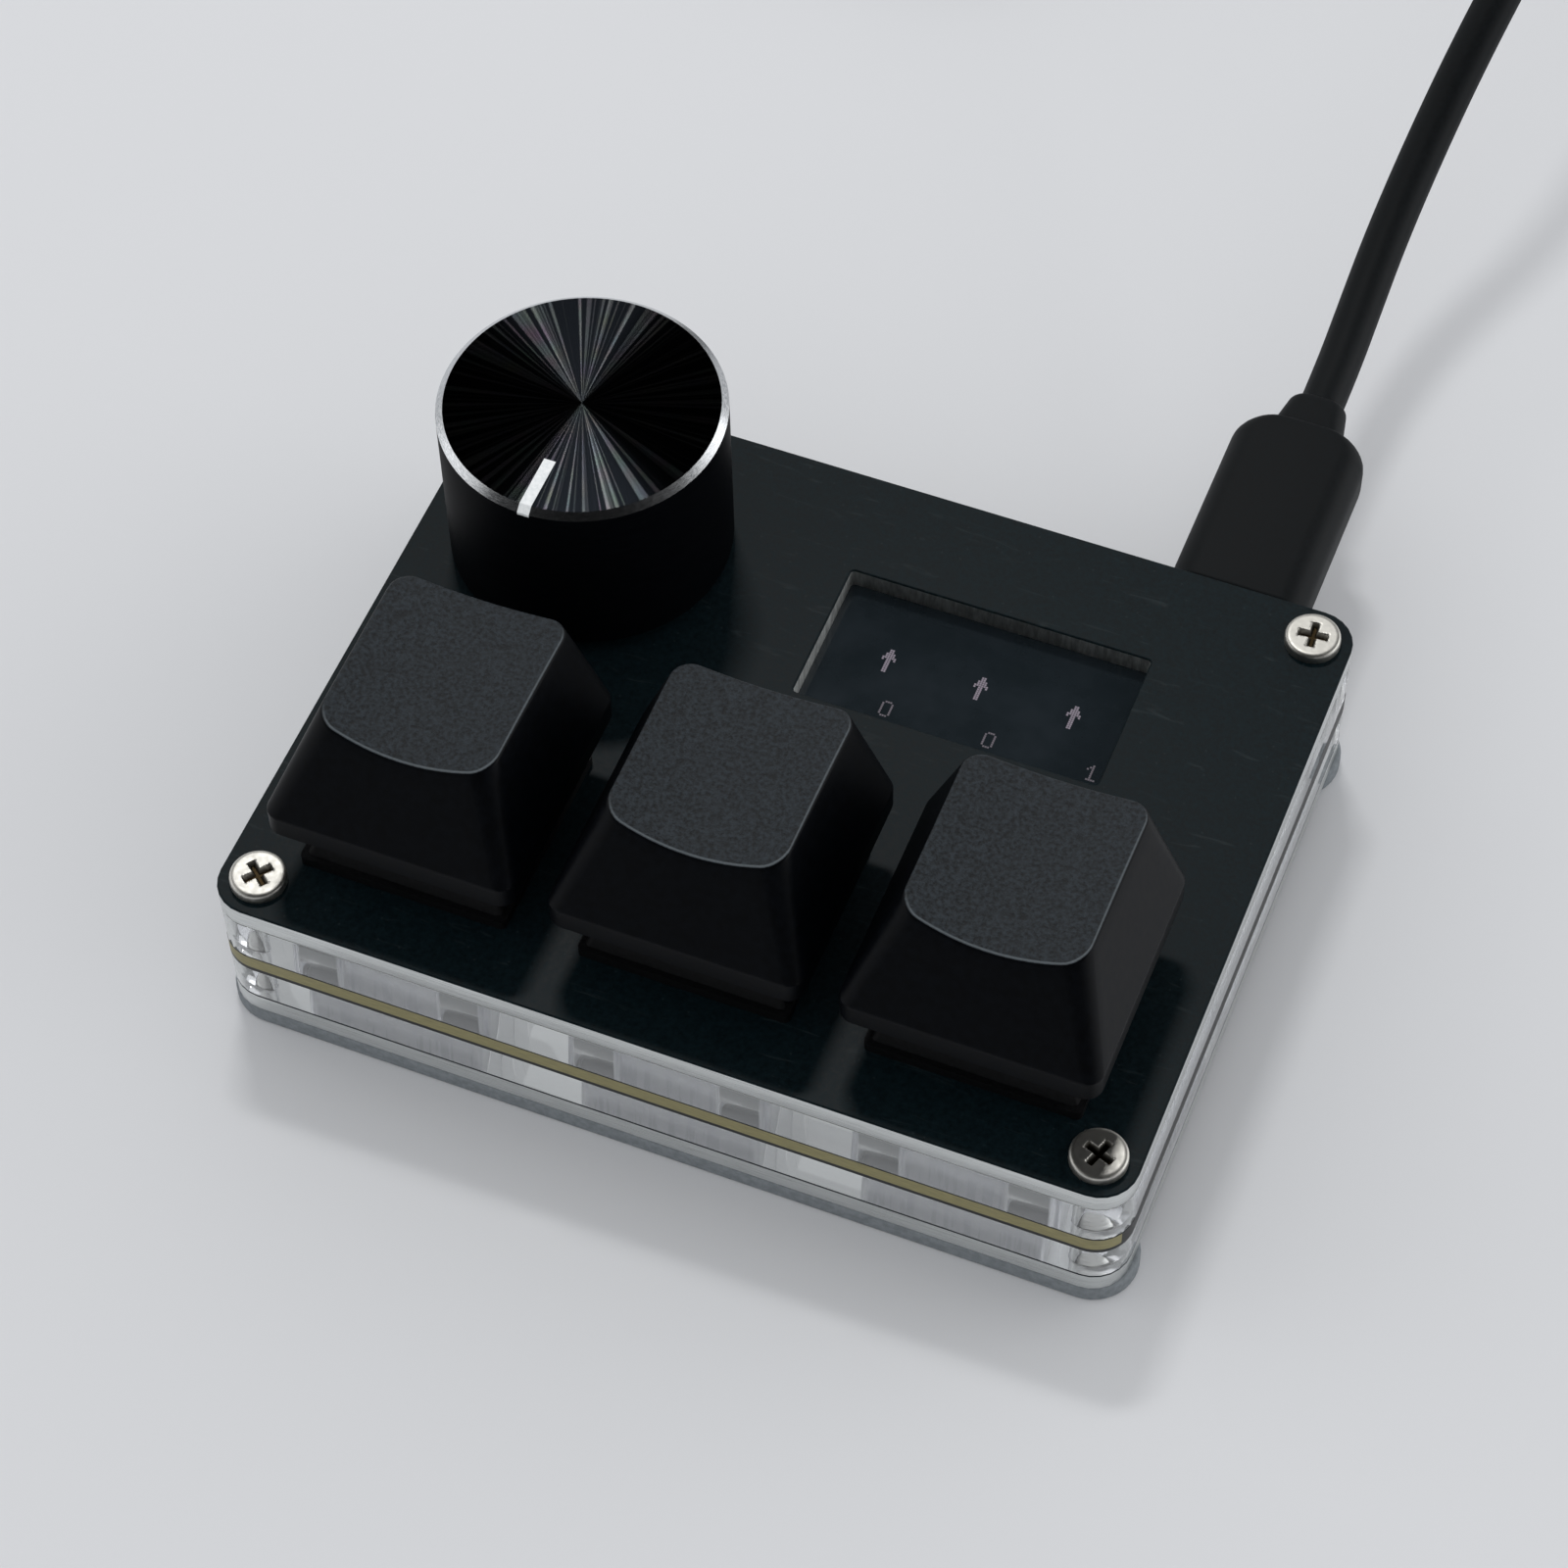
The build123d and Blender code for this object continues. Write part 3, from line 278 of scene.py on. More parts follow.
def edge_rings(loop, profile, side):
    """A loop carried down an edge profile. Each inset moves it inwards (side 1) or outwards (side -1)."""
    points, outward = loop
    plan = points[None] - side * profile[:, None, None, 0] * outward[None]
    heights = np.broadcast_to(profile[:, None, None, 1], plan.shape[:2] + (1,))
    return np.concatenate([plan, heights], axis=2)


def sheet_surface(outline, holes, profile):
    """A flat sheet with holes: every loop carried down the edge profile, and both faces filled between loops.

    Returns points, faces, the finish slot of each face (0 flat, 1 on the outline, 2 in holes) and the rim points.
    """
    sides = [1] + [-1] * len(holes)
    rings = [edge_rings(loop, profile, side) for loop, side in zip([outline, *holes], sides)]
    rows = len(profile)
    counts = np.array([ring.shape[1] for ring in rings])
    starts = np.concatenate([[0], np.cumsum(counts[:-1] * rows)])
    walls = [grid_faces(rows, count, start) for count, start in zip(counts, starts)]
    walls = [wall[:, :: int(side)] for wall, side in zip(walls, sides)]
    upper = np.concatenate([start + np.arange(count) for start, count in zip(starts, counts)])
    lower = np.concatenate([start + (rows - 1) * count + np.arange(count) for start, count in zip(starts, counts)])
    triangles = np.array(tessellate_polygon([ring[0].tolist() for ring in rings]))
    top_points = np.concatenate([ring[0] for ring in rings])
    first, second, third = (top_points[triangles[:, i], :2] for i in range(3))
    across = (second - first)[:, 0] * (third - first)[:, 1] - (second - first)[:, 1] * (third - first)[:, 0]
    triangles[across < 0] = triangles[across < 0][:, ::-1]
    faces = np.concatenate([upper[triangles], lower[triangles][:, ::-1]]).tolist()
    slots = [0] * len(faces)
    for i, wall in enumerate(walls):
        faces += wall.tolist()
        bands = np.full(rows - 1, min(i + 1, 2))
        bands[: rows // 2 - 1] = 0
        slots += np.repeat(bands, len(wall) // (rows - 1)).tolist()
    points = np.concatenate([ring.reshape(-1, 3) for ring in rings])
    rim = np.zeros(len(points), dtype=bool)
    rim[upper] = True
    rim[lower] = True
    return points, faces, slots, rim


def softened(corners, reach, steps=3):
    """A line through corners whose inner corners are rounded.

    Each inner corner becomes a parabola from the point at the given reach before it to the one after it:
    (1-s)^2 times the first, 2s(1-s) times the corner and s^2 times the last, for s from 0 to 1.
    """
    corners = np.asarray(corners, dtype=float)
    before = corners[:-2] - corners[1:-1]
    after = corners[2:] - corners[1:-1]
    before *= reach / np.linalg.norm(before, axis=1, keepdims=True)
    after *= reach / np.linalg.norm(after, axis=1, keepdims=True)
    share = np.linspace(0, 1, steps + 1)[None, :, None]
    middle = corners[1:-1, None]
    curve = middle + (1 - share) ** 2 * before[:, None] + share**2 * after[:, None]
    return np.concatenate([corners[:1], curve.reshape(-1, corners.shape[1]), corners[-1:]])


def turned_rings(radius, height, centre, count):
    """Loops about the upright line through the centre, one for each height.

    At an angle t a loop's point lies at the radius times (cos t, sin t). The radius may differ along a loop.
    """
    angles = full_turn(count)
    x = centre[0] + radius * np.cos(angles)
    y = centre[1] + radius * np.sin(angles)
    return np.stack([x, y, np.broadcast_to(height[:, None], x.shape)], axis=2)


# ---------------------------------------------------------------- sizes and colours a user would change
def length(name, description, millimetres):
    """A length, given in millimetres."""
    return FloatProperty(name=name, description=description, default=millimetres * MM, unit="LENGTH")


def paint(name, description, code):
    """A colour, given as an sRGB hex code."""
    return FloatVectorProperty(name=name, description=description, subtype="COLOR", default=linear(code))


class PlateSettings(bpy.types.PropertyGroup):
    """The two metal plates, the clear spacers, the feet and the screws."""

    corner_radius: length("Corner radius", "Radius of the outline's corners", 2.7)
    edge_rounding: length("Edge rounding", "How far the cut edges are broken", 0.11)
    key_cutout: length("Key cut-out", "Side of the square holes for the switches", 14.0)
    cutout_radius: length("Cut-out corners", "Corner radius of the holes", 0.3)
    pocket_radius: length("Pocket corners", "Corner radius of the spacers' pockets", 0.8)
    notch_width: length("Notch width", "Width of the clip notches", 3.2)
    notch_depth: length("Notch depth", "Depth of the clip notches", 0.9)
    notch_inset: length("Notch inset", "Notch's distance from the pocket's side", 0.5)
    window_width: length("Window width", "Width of the display window", 22.2)
    window_depth: length("Window depth", "Depth of the display window", 11.35)
    window_border: length("Rear border", "Glass hidden behind the window", 1.3)
    screw_inset: length("Screw inset", "Screw centre from both edges", 2.8)
    thread_pitch: length("Thread pitch", "Height of one turn of thread", 0.4)
    face_colour: paint("Plate faces", "Black anodised faces", "#09161a")
    edge_colour: paint("Plate edges", "Bare cut edges", "#dee1e0")
    board_colour: paint("Board core", "The laminate's cut edge", "#8b8459")


class CapSettings(bpy.types.PropertyGroup):
    """The three keycaps."""

    band_height: length("Band", "Height of the upright band at the skirt", 1.8)
    front_height: length("Front height", "Height of the top's front corners", 8.8)
    rear_height: length("Rear height", "Height of the top's rear corners", 8.6)
    top_width: length("Top width", "Width of the top", 12.4)
    top_front: length("Top front", "Front of the top from the key's middle", -4.7)
    top_rear: length("Top rear", "Rear of the top from the key's middle", 8.4)
    front_dish: length("Front dish", "Depth of the finger dish at the front", 1.1)
    rear_dish: length("Rear dish", "Depth of the finger dish at the rear", 0.5)
    wall: length("Wall", "Thickness of the walls", 1.3)
    rim_rounding: length("Rim rounding", "Reach of the rounding round the top", 0.3)
    # The tops' colour and the far darker sides' colour are lit and shaded copies of one plastic: the sides carry
    # painted shade.
    colour: paint("Tops", "Textured plastic of the tops", "#1e2429")
    side_colour: paint("Sides", "Smooth plastic of the sides", "#030509")


class KnobSettings(bpy.types.PropertyGroup):
    """The turned knob and its pointer line."""

    chamfer_width: length("Chamfer width", "Width of the bright rim", 0.5)
    chamfer_drop: length("Chamfer drop", "Height of the bright rim", 0.42)
    pointer_start: length("Pointer start", "Radius where the pointer begins", 5.4)
    pointer_width: length("Pointer width", "Width of the pointer", 0.85)
    colour: paint("Knob", "Black anodised metal", "#050608")


class DisplaySettings(bpy.types.PropertyGroup):
    """The lit dots behind the window."""

    dot_pitch: length("Dot pitch", "Distance between the display's dots", 0.17)
    dot_colour: paint("Dots", "Dim lit dots", "#7d7480")


class LeadSettings(bpy.types.PropertyGroup):
    """The cable, its two plugs and its coil."""

    cable_diameter: length("Cable diameter", "Outside of the jacket", 3.3)
    coil_diameter: length("Coil diameter", "Mean diameter of the coil", 36.5)
    coil_turns: FloatProperty(name="Turns", description="Turns in the coil's two layers", default=7.5)
    points_per_turn: IntProperty(name="Points a turn", description="Spline points in each turn", default=16)
    colour: paint("Jacket", "Black jacket and grips", "#0a0f12")


class StageSettings(bpy.types.PropertyGroup):
    """The table top, the lights and the camera."""

    lens: FloatProperty(name="Lens", description="Focal length of the camera in mm", default=99.1)
    camera_place: FloatVectorProperty(
        name="Camera", description="Where the camera stands", unit="LENGTH", default=(0.066616, -0.158116, 0.251887)
    )
    camera_azimuth: FloatProperty(
        name="Azimuth", description="Turn of the view", unit="ROTATION", default=math.radians(23.106)
    )
    camera_elevation: FloatProperty(
        name="Elevation", description="How steeply the view looks down", unit="ROTATION", default=math.radians(54.573)
    )
    camera_roll: FloatProperty(
        name="Roll", description="Lean of the camera", unit="ROTATION", default=math.radians(-1.573)
    )
    table_colour: paint("Table", "Pale table top", "#dadbdd")


SETTINGS = {
    "keypad_plates": PlateSettings,
    "keypad_caps": CapSettings,
    "keypad_knob": KnobSettings,
    "keypad_display": DisplaySettings,
    "keypad_lead": LeadSettings,
    "keypad_stage": StageSettings,
}


# ---------------------------------------------------------------- finishes
def tone(source):
    """A colour from its hex code, or from a setting's group and name and a factor."""
    if isinstance(source, str):
        return linear(source)
    group, setting, factor = source
    return times(getattr(getattr(bpy.context.scene, group), setting), factor)


def grained_finish(name, first, second, grain, roughness, spread=0.05, relief=0.0, stretch=(1, 1, 1), **sockets):
    """A finish that wanders between two colours in grains of a real size, with its roughness and relief.

    The grain and the relief are in millimetres, and the stretch is along the piece's three directions.
    """
    finish, tree, shader = start_finish(name)
    noise = speckle(tree, stretched(tree, object_place(tree), stretch), grain, Detail=3.0, Roughness=0.6)
    amount = remapped(tree, noise, (0.35, 0.65))
    rough = remapped(tree, noise, end=(roughness - spread, roughness + spread))
    feed(tree, shader, {"Base Color": mixed(tree, amount, tone(first), tone(second)), "Roughness": rough})
    if relief:
        feed(tree, shader, {"Normal": raised(tree, noise, relief)})
    feed(tree, shader, {socket.replace("_", " "): value for socket, value in sockets.items()})
    return finish


EDGE = ("keypad_plates", "edge_colour")
SIDE = ("keypad_caps", "side_colour")
METAL = {"Metallic": 1.0}

# Each row: the real material, its two colours, its grain in mm, its roughness and its other settings.
GRAINED = {
    # The sheet's milled edge, left bare: bright, with fine lines along the cut.
    "bare_edge": (
        "bare_cut_aluminium", (*EDGE, 0.8), (*EDGE, 1.0), 0.5, 0.3,
        {"spread": 0.12, "relief": 0.004, "stretch": (0.15, 0.15, 6.0), **METAL},
    ),
    # The walls of the plates' cut-outs: bright metal, left rougher by a small cutter.
    "cut_wall": (
        "milled_aluminium", (*EDGE, 0.8), (*EDGE, 1.2), 0.3, 0.62,
        {"spread": 0.08, "relief": 0.006, "stretch": (1.0, 1.0, 0.2), **METAL},
    ),
    # The pockets' walls: the laser frosts them, so that they catch the light and look milky through the edge.
    "acrylic_wall": (
        "frosted_acrylic", "#dfe1ea", "#fbfcff", 0.5, 0.28,
        {"spread": 0.1, "relief": 0.01, "stretch": (1.0, 1.0, 0.1), "IOR": 1.49, "Transmission_Weight": 0.5},
    ),
    # Soft grey rubber strip: matt, slightly dusty.
    "grey_rubber": ("moulded_grey_rubber", "#6e7478", "#80868a", 0.4, 0.75, {"relief": 0.01}),
    # The keycap's sloping sides: the plastic of its top off smooth steel, a little glossier; their far darker colour
    # is painted shade, a shaded copy of the tops' plastic.
    "keycap_side": (
        "smooth_abs", (*SIDE, 0.7), (*SIDE, 1.3), 0.6, 0.42,
        {"spread": 0.06, "relief": 0.004, "Specular_IOR_Level": 0.1},
    ),
    # The knob's side and underside: black anodised over fine turning lines.
    "knob_side": (
        "turned_black_aluminium", ("keypad_knob", "colour", 1.0), ("keypad_knob", "colour", 2.0), 0.4, 0.5,
        {"spread": 0.06, "stretch": (0.2, 0.2, 8.0), "IOR": 1.08},
    ),
    # The knob's chamfer, cut after anodising: a mirror-bright ring with faint turning lines.
    "knob_chamfer": (
        "bright_turned_aluminium", "#b9bcbf", "#dfe1e3", 0.3, 0.24,
        {"spread": 0.06, "stretch": (1.0, 1.0, 6.0), **METAL},
    ),
    # White enamel wiped into the knob's groove: matt, a little uneven.
    "pointer_white": ("white_enamel_fill", "#dfe3e4", "#f2f4f4", 0.3, 0.55, {"relief": 0.01}),
    # Polished dark glass over a display, with a faint smear that shows in the reflection.
    "display_glass": ("display_cover_glass", "#1a2125", "#1f262b", 4, 0.07, {"spread": 0.03, "IOR": 1.52}),
    # Thermoplastic rubber: a soft matt black with a fine moulded grain.
    "cable_rubber": (
        "moulded_rubber_jacket", ("keypad_lead", "colour", 0.8), ("keypad_lead", "colour", 1.2), 0.3, 0.6,
        {"spread": 0.08, "relief": 0.006, "Specular_IOR_Level": 0.2},
    ),
    # Black switch housings: semi-matt, with a faint fibre grain.
    "housing_plastic": (
        "glass_filled_nylon", "#0a0b0c", "#121315", 0.25, 0.5,
        {"relief": 0.006, "Specular_IOR_Level": 0.2},
    ),
    # Switch sliders: smooth, slightly waxy red acetal.
    "stem_plastic": ("red_acetal", "#7c1414", "#8d1c1a", 1.0, 0.3, {"Subsurface_Weight": 0.1}),
    # Drawn wire: bright with lines along it.
    "spring_steel": ("spring_steel_wire", "#b4b0a4", "#d5d2c8", 0.1, 0.25, METAL),
    # Stamped contact strip: warm and bright.
    "contact_copper": ("phosphor_bronze", "#b98a4e", "#d0a468", 0.3, 0.28, METAL),
    # Pressed plated sheet for the socket, encoder can and plug noses: grey and softly bright.
    "nickel_silver": ("nickel_silver_sheet", "#a9a9a4", "#c4c4bf", 0.6, 0.3, {"spread": 0.08, **METAL}),
    # Black foam pad: dull, with small open cells.
    "black_foam": ("closed_cell_foam", "#0c0d0d", "#1c1d1e", 0.2, 0.9, {"relief": 0.05}),
    # Amber ribbon: thin and glossy, with its copper showing through.
    "amber_film": ("polyimide_film", "#8a4f1c", "#a7672a", 0.5, 0.25, {"stretch": (6.0, 0.3, 1.0)}),
    # Chip packages: matt black epoxy with a fine fleck.
    "chip_epoxy": ("moulded_chip_epoxy", "#141516", "#222426", 0.1, 0.6, {}),
    # Chip capacitors: tan ceramic with a silky surface.
    "ceramic": ("fired_ceramic", "#9c7f62", "#b3967a", 0.2, 0.4, {}),
}


def black_anodised_aluminium():
    """Sheet aluminium, blasted and dyed black: satin, cool, with faint rub marks and a fine sparkle painted as pale
    specks.
    """
    colour = bpy.context.scene.keypad_plates.face_colour
    finish, tree, shader = start_finish("black_anodised_aluminium")
    place = object_place(tree)
    # Blasting leaves pits of about 0.15 mm, drawn twice as coarse so that they show.
    pits = speckle(tree, place, 0.3, Detail=4.0, Roughness=0.7)
    # The sparkle is painted glints: pale specks about 1.1 mm apart, mixed into the colour.
    sparkle_cells = add_node(tree, "ShaderNodeTexVoronoi", {"Vector": place, "Scale": 1 / (1.1 * MM)})
    painted_sparkle = remapped(tree, sparkle_cells.outputs["Distance"], (0.1, 0.05))
    # A rub mark is about 5 mm long and a seventh as wide, and runs aslant.
    rubs = speckle(tree, stretched(tree, place, (1.0, 7.0, 1.0), 0.9), 5, Detail=6.0, Distortion=1.5)
    marks = worked_out(tree, "MAXIMUM", painted_sparkle, remapped(tree, rubs, (0.62, 0.72)))
    faint = worked_out(tree, "MULTIPLY", marks, 0.13)
    dark = mixed(tree, remapped(tree, pits, (0.3, 0.7)), times(colour, 0.6), times(colour, 1.6))
    inputs = {
        "Base Color": mixed(tree, faint, dark, linear("#4a5152")),
        "Roughness": remapped(tree, pits, end=(0.34, 0.54)),
        "Normal": raised(tree, pits, 0.008),
        "Specular IOR Level": 0.12,
    }
    feed(tree, shader, inputs)
    return finish


def let_light_in(finish, tree, shader):
    """Lets lamp light pass straight through a clear finish, as the thin sheets do."""
    clear = add_node(tree, "ShaderNodeBsdfTransparent", {"Color": opaque(linear("#e9edee"))})
    path = add_node(tree, "ShaderNodeLightPath")
    ends = {0: path.outputs["Is Shadow Ray"], 1: shader.outputs[0], 2: clear.outputs[0]}
    both = add_node(tree, "ShaderNodeMixShader", ends)
    feed(tree, tree.nodes["Material Output"], {"Surface": both.outputs[0]})
    return finish


def clear_cast_acrylic():
    """Clear cast acrylic sheet: flat and polished, so that it mirrors the pockets inside from face to face."""
    finish, tree, shader = start_finish("clear_cast_acrylic")
    # The sheet pipes in light from all its edges over more bounces than are followed: a faint glow stands for them.
    glow = {"Emission Color": opaque(linear("#eef2f3")), "Emission Strength": 0.08}
    clear = {"Base Color": opaque(linear("#f4f7f8")), "Roughness": 0.02, "IOR": 1.49, "Transmission Weight": 1.0}
    feed(tree, shader, {**clear, **glow})
    return let_light_in(finish, tree, shader)


def laser_cut_acrylic():
    """The spacers' outer edge: the laser leaves it glossy, with faint upright ripples."""
    finish, tree, shader = start_finish("laser_cut_acrylic")
    # The beam leaves ripples about 0.3 mm apart, drawn twice as wide so that they show.
    ripples = speckle(tree, stretched(tree, object_place(tree), (1.0, 1.0, 0.05)), 0.6, Detail=1.0)
    clear = {"Base Color": opaque(linear("#f1f3f6")), "Roughness": 0.03, "IOR": 1.49, "Transmission Weight": 0.97}
    feed(tree, shader, {**clear, "Normal": raised(tree, ripples, 0.004)})
    return let_light_in(finish, tree, shader)


def glass_cloth_laminate():
    """Circuit board: dark mask on both faces and the olive glass-cloth core at the cut edge."""
    core = bpy.context.scene.keypad_plates.board_colour
    low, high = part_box("circuit_board")
    finish, tree, shader = start_finish("glass_cloth_laminate")
    place = object_place(tree)
    across, _, height = add_node(tree, "ShaderNodeSeparateXYZ", {0: place}).outputs
    # The mask shows for 0.07 mm at the top of the edge; the dark band of 0.35 mm at its foot is painted shade over the
    # core, coloured as the mask.
    above = worked_out(tree, "GREATER_THAN", height, high.z - 0.07 * MM)
    below = worked_out(tree, "LESS_THAN", height, low.z + 0.35 * MM)
    # The two ends are sealed with the mask: they lie more than half the board's width, less 0.4 mm, from its middle.
    away = worked_out(tree, "ABSOLUTE", worked_out(tree, "SUBTRACT", across, (low.x + high.x) / 2))
    ends = worked_out(tree, "GREATER_THAN", away, (high.x - low.x) / 2 - 0.4 * MM)
    mask_and_painted_shade = worked_out(tree, "MAXIMUM", worked_out(tree, "MAXIMUM", above, below), ends)
    fibres = speckle(tree, stretched(tree, place, (0.3, 0.3, 3.0)), 0.3)
    edge = mixed(tree, fibres, times(core, 0.45), times(core, 1.3))
    feed(tree, shader, {"Base Color": mixed(tree, mask_and_painted_shade, edge, linear("#0a0c0b")), "Roughness": 0.45})
    return finish


def nickel_plated_steel():
    """Rolled and nickel plated screws: bright, faintly yellow, with tool marks; darker and browner deeper into the
    cross recess.
    """
    finish, tree, shader = start_finish("nickel_plated_steel")
    marks = speckle(tree, object_place(tree), 0.35, Detail=4.0)
    depth = add_node(tree, "ShaderNodeAttribute", attribute_name="recess").outputs["Fac"]
    inputs = {
        "Base Color": mixed(tree, depth, linear("#dcdad3"), linear("#3a3020")),
        "Roughness": remapped(tree, marks, end=(0.35, 0.55)),
        "Normal": raised(tree, marks, 0.004),
    }
    feed(tree, shader, {**inputs, **METAL})
    return finish


def textured_abs():
    """The keycap's top: ABS off a spark-eroded mould, mottled grey by its matt grain, with a painted highlight along
    its rim.
    """
    top = ("keypad_caps", "colour")
    # The mould's grain is about 0.2 mm, drawn as 0.28 mm so that it shows.
    more = {"spread": 0.12, "relief": 0.1, "Specular_IOR_Level": 0.35}
    finish = grained_finish("textured_abs", (*top, 0.45), (*top, 1.7), 0.28, 0.6, **more)
    tree = finish.node_tree
    shader = tree.nodes["Principled BSDF"]
    grained = shader.inputs["Base Color"].links[0].from_socket
    worn = add_node(tree, "ShaderNodeAttribute", attribute_name="worn").outputs["Fac"]
    # The pale line that the points mark along the rim is a painted highlight.
    feed(tree, shader, {"Base Color": mixed(tree, worn, grained, linear("#5c6367"))})
    return finish


def spun_black_aluminium():
    """The knob's faced top: dyed metal cut by a turning tool, so its shine opens into streaked fans."""
    finish, tree, shader = start_finish("spun_black_aluminium")
    middle = (*middle_of("knob_shell"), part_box("knob_shell")[1].z)
    place = object_place(tree)
    centred = add_node(tree, "ShaderNodeVectorMath", {0: place, 1: middle}, operation="SUBTRACT")
    spoke = add_node(tree, "ShaderNodeVectorMath", {0: centred.outputs[0]}, operation="NORMALIZE")
    # The tool chatters about seventy times a turn, which breaks the fans into streaks.
    streaks = add_node(tree, "ShaderNodeTexNoise", {"Vector": spoke.outputs[0], "Scale": 21.0, "Detail": 1.0})
    streak = remapped(tree, streaks.outputs[0], (0.5, 0.66), (0.0, 0.12))
    # The fine grooves split the light: the tint drifts over about 2 mm along a streak.
    drift = add_node(tree, "ShaderNodeTexNoise", {"Vector": place, "Scale": 1 / (1.6 * MM), "Detail": 0.0})
    tinted = mixed(tree, 0.25, linear("#b0b3b8"), drift.outputs[1])
    tangent = add_node(tree, "ShaderNodeTangent", direction_type="UV_MAP", uv_map="spokes")
    inputs = {
        "Base Color": mixed(tree, streak, linear("#0b0d10"), tinted),
        "Tangent": tangent.outputs[0],
        "Roughness": 0.16,
        "Anisotropic": 1.0,
    }
    feed(tree, shader, {**inputs, **METAL})
    return finish


def lit_dots(name="lit_dots", share=1.0):
    """Organic light-emitting dots, switched on but dim beside the daylight."""
    colour = times(bpy.context.scene.keypad_display.dot_colour, share)
    finish, tree, shader = start_finish(name)
    surface = mixed(tree, speckle(tree, object_place(tree), 0.5), times(colour, 0.7), colour)
    feed(tree, shader, {"Base Color": surface, "Emission Color": surface, "Emission Strength": 0.35, "Roughness": 0.5})
    return finish


def dim_lit_dots():
    """The same dots driven at half the current, as the display's small digits are."""
    return lit_dots("dim_lit_dots", 0.5)


def woven_nylon_strap():
    """Black woven strap: small raised threads both ways."""
    finish, tree, shader = start_finish("woven_nylon_strap")
    # Threads lie 0.5 mm apart.
    inputs = {"Vector": object_place(tree), "Scale": 0.1 / (0.5 * MM)}
    warp, weft = (add_node(tree, "ShaderNodeTexWave", inputs, bands_direction=way) for way in ("X", "DIAGONAL"))
    weave = worked_out(tree, "MULTIPLY", warp.outputs[1], weft.outputs[1])
    surface = mixed(tree, weave, linear("#0c0d0e"), linear("#2b2d30"))
    feed(tree, shader, {"Base Color": surface, "Normal": raised(tree, weave, 0.08), "Roughness": 0.8})
    return finish


FINISHES = {
    "black_anodised_plate": black_anodised_aluminium,
    "clear_acrylic": clear_cast_acrylic,
    "acrylic_edge": laser_cut_acrylic,
    "circuit_laminate": glass_cloth_laminate,
    "screw_steel": nickel_plated_steel,
    "keycap_plastic": textured_abs,
    "knob_aluminium": spun_black_aluminium,
    "display_dots": lit_dots,
    "dim_display_dots": dim_lit_dots,
    "black_strap": woven_nylon_strap,
}
made_finishes = {}


def finish_of(key):
    """The finish of that name, made when it is first asked for."""
    if key in GRAINED and key not in made_finishes:
        *main_values, more = GRAINED[key]
        made_finishes[key] = grained_finish(*main_values, **more)
    elif key not in made_finishes:
        made_finishes[key] = FINISHES[key]()
    return made_finishes[key]


# ---------------------------------------------------------------- plates, spacers, feet and screws
SCREW_HOLE_RADIUS = 1.1 * MM
# How far from a screw's middle its hole's wall is still found, and how near a wall is to count as the notches'.
SCREW_HOLE_REACH = 1.5 * MM
CLEAN_CUT_REACH = 0.05 * MM
# Room between the metal plate and the encoder, and between a switch and its pocket, on both sides together.
ENCODER_ROOM = 0.6 * MM
SWITCH_ROOM = 0.6 * MM
ENCODER_POCKET = (13.6 * MM, 16.4 * MM)
LOWER_KEY_POCKET = (13.0 * MM, 16.6 * MM)
PARTS_POCKET = (32.0 * MM, 19.0 * MM)
PARTS_MIDDLE = (8.5 * MM, 9.5 * MM)
NOTCH_CORNER = 0.3 * MM
# Turned and domed faces end in a ring of this radius, which a flat face closes.
CENTRAL_POINT = 0.02 * MM


def middle_of(node):
    """The middle of a CAD piece in plan."""
    low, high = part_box(node)
    return ((low.x + high.x) / 2, (low.y + high.y) / 2)


def size_of(node):
    """Width, depth and height of a CAD piece."""
    low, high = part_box(node)
    return high - low


def screw_places():
    """The four corner holes, from the plate's edges and the screw inset."""
    low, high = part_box("top_plate")
    inset = bpy.context.scene.keypad_plates.screw_inset
    return [(x, y) for x in (low.x + inset, high.x - inset) for y in (low.y + inset, high.y - inset)]


def screw_holes():
    """The corner holes' outlines."""
    return [round_loop(place, SCREW_HOLE_RADIUS) for place in screw_places()]


def key_places():
    """The middles of the three switches."""
    return [middle_of(f"switch_base_{key}") for key in KEYS]


def window_middle():
    """The display window's middle: its rear edge stands in front of the glass's by the hidden border."""
    plates = bpy.context.scene.keypad_plates
    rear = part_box("display_glass")[1].y - plates.window_border
    return (middle_of("display_glass")[0], rear - plates.window_depth / 2)


def plate_outline(node):
    """The outline that plates, spacers and board share."""
    size = size_of(node)
    return rounded_loop(middle_of(node), size.x, size.y, bpy.context.scene.keypad_plates.corner_radius)


def place_plate(name, node, holes):
    """A metal plate in a node's place, with its faces anodised and its edges bare."""
    plates = bpy.context.scene.keypad_plates
    low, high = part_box(node)
    surface = sheet_surface(plate_outline(node), holes, edge_profile(low.z, high.z, plates.edge_rounding))
    points, faces, slots, rim = surface
    place_piece(name, points, faces, "base", ["black_anodised_plate", "bare_edge", "cut_wall"], [node], slots, rim)


class KEYPAD_OT_make_plates(bpy.types.Operator):
    """Makes the top and bottom plates with their cut-outs"""

    bl_idname = "keypad.make_plates"
    bl_label = "Plates"

    def execute(self, context):
        plates = context.scene.keypad_plates
        cut = plates.key_cutout
        radius = plates.cutout_radius
        keys = [rounded_loop(place, cut, cut, radius) for place in key_places()]
        encoder = size_of("encoder_base")
        hole = rounded_loop(middle_of("encoder_base"), encoder.x + ENCODER_ROOM, encoder.y + ENCODER_ROOM, radius)
        window = rounded_loop(window_middle(), plates.window_width, plates.window_depth, radius)
        place_plate("top_plate_anodised", "top_plate", [*screw_holes(), *keys, hole, window])
        place_plate("bottom_plate_anodised", "bottom_plate", screw_holes())
        return {"FINISHED"}


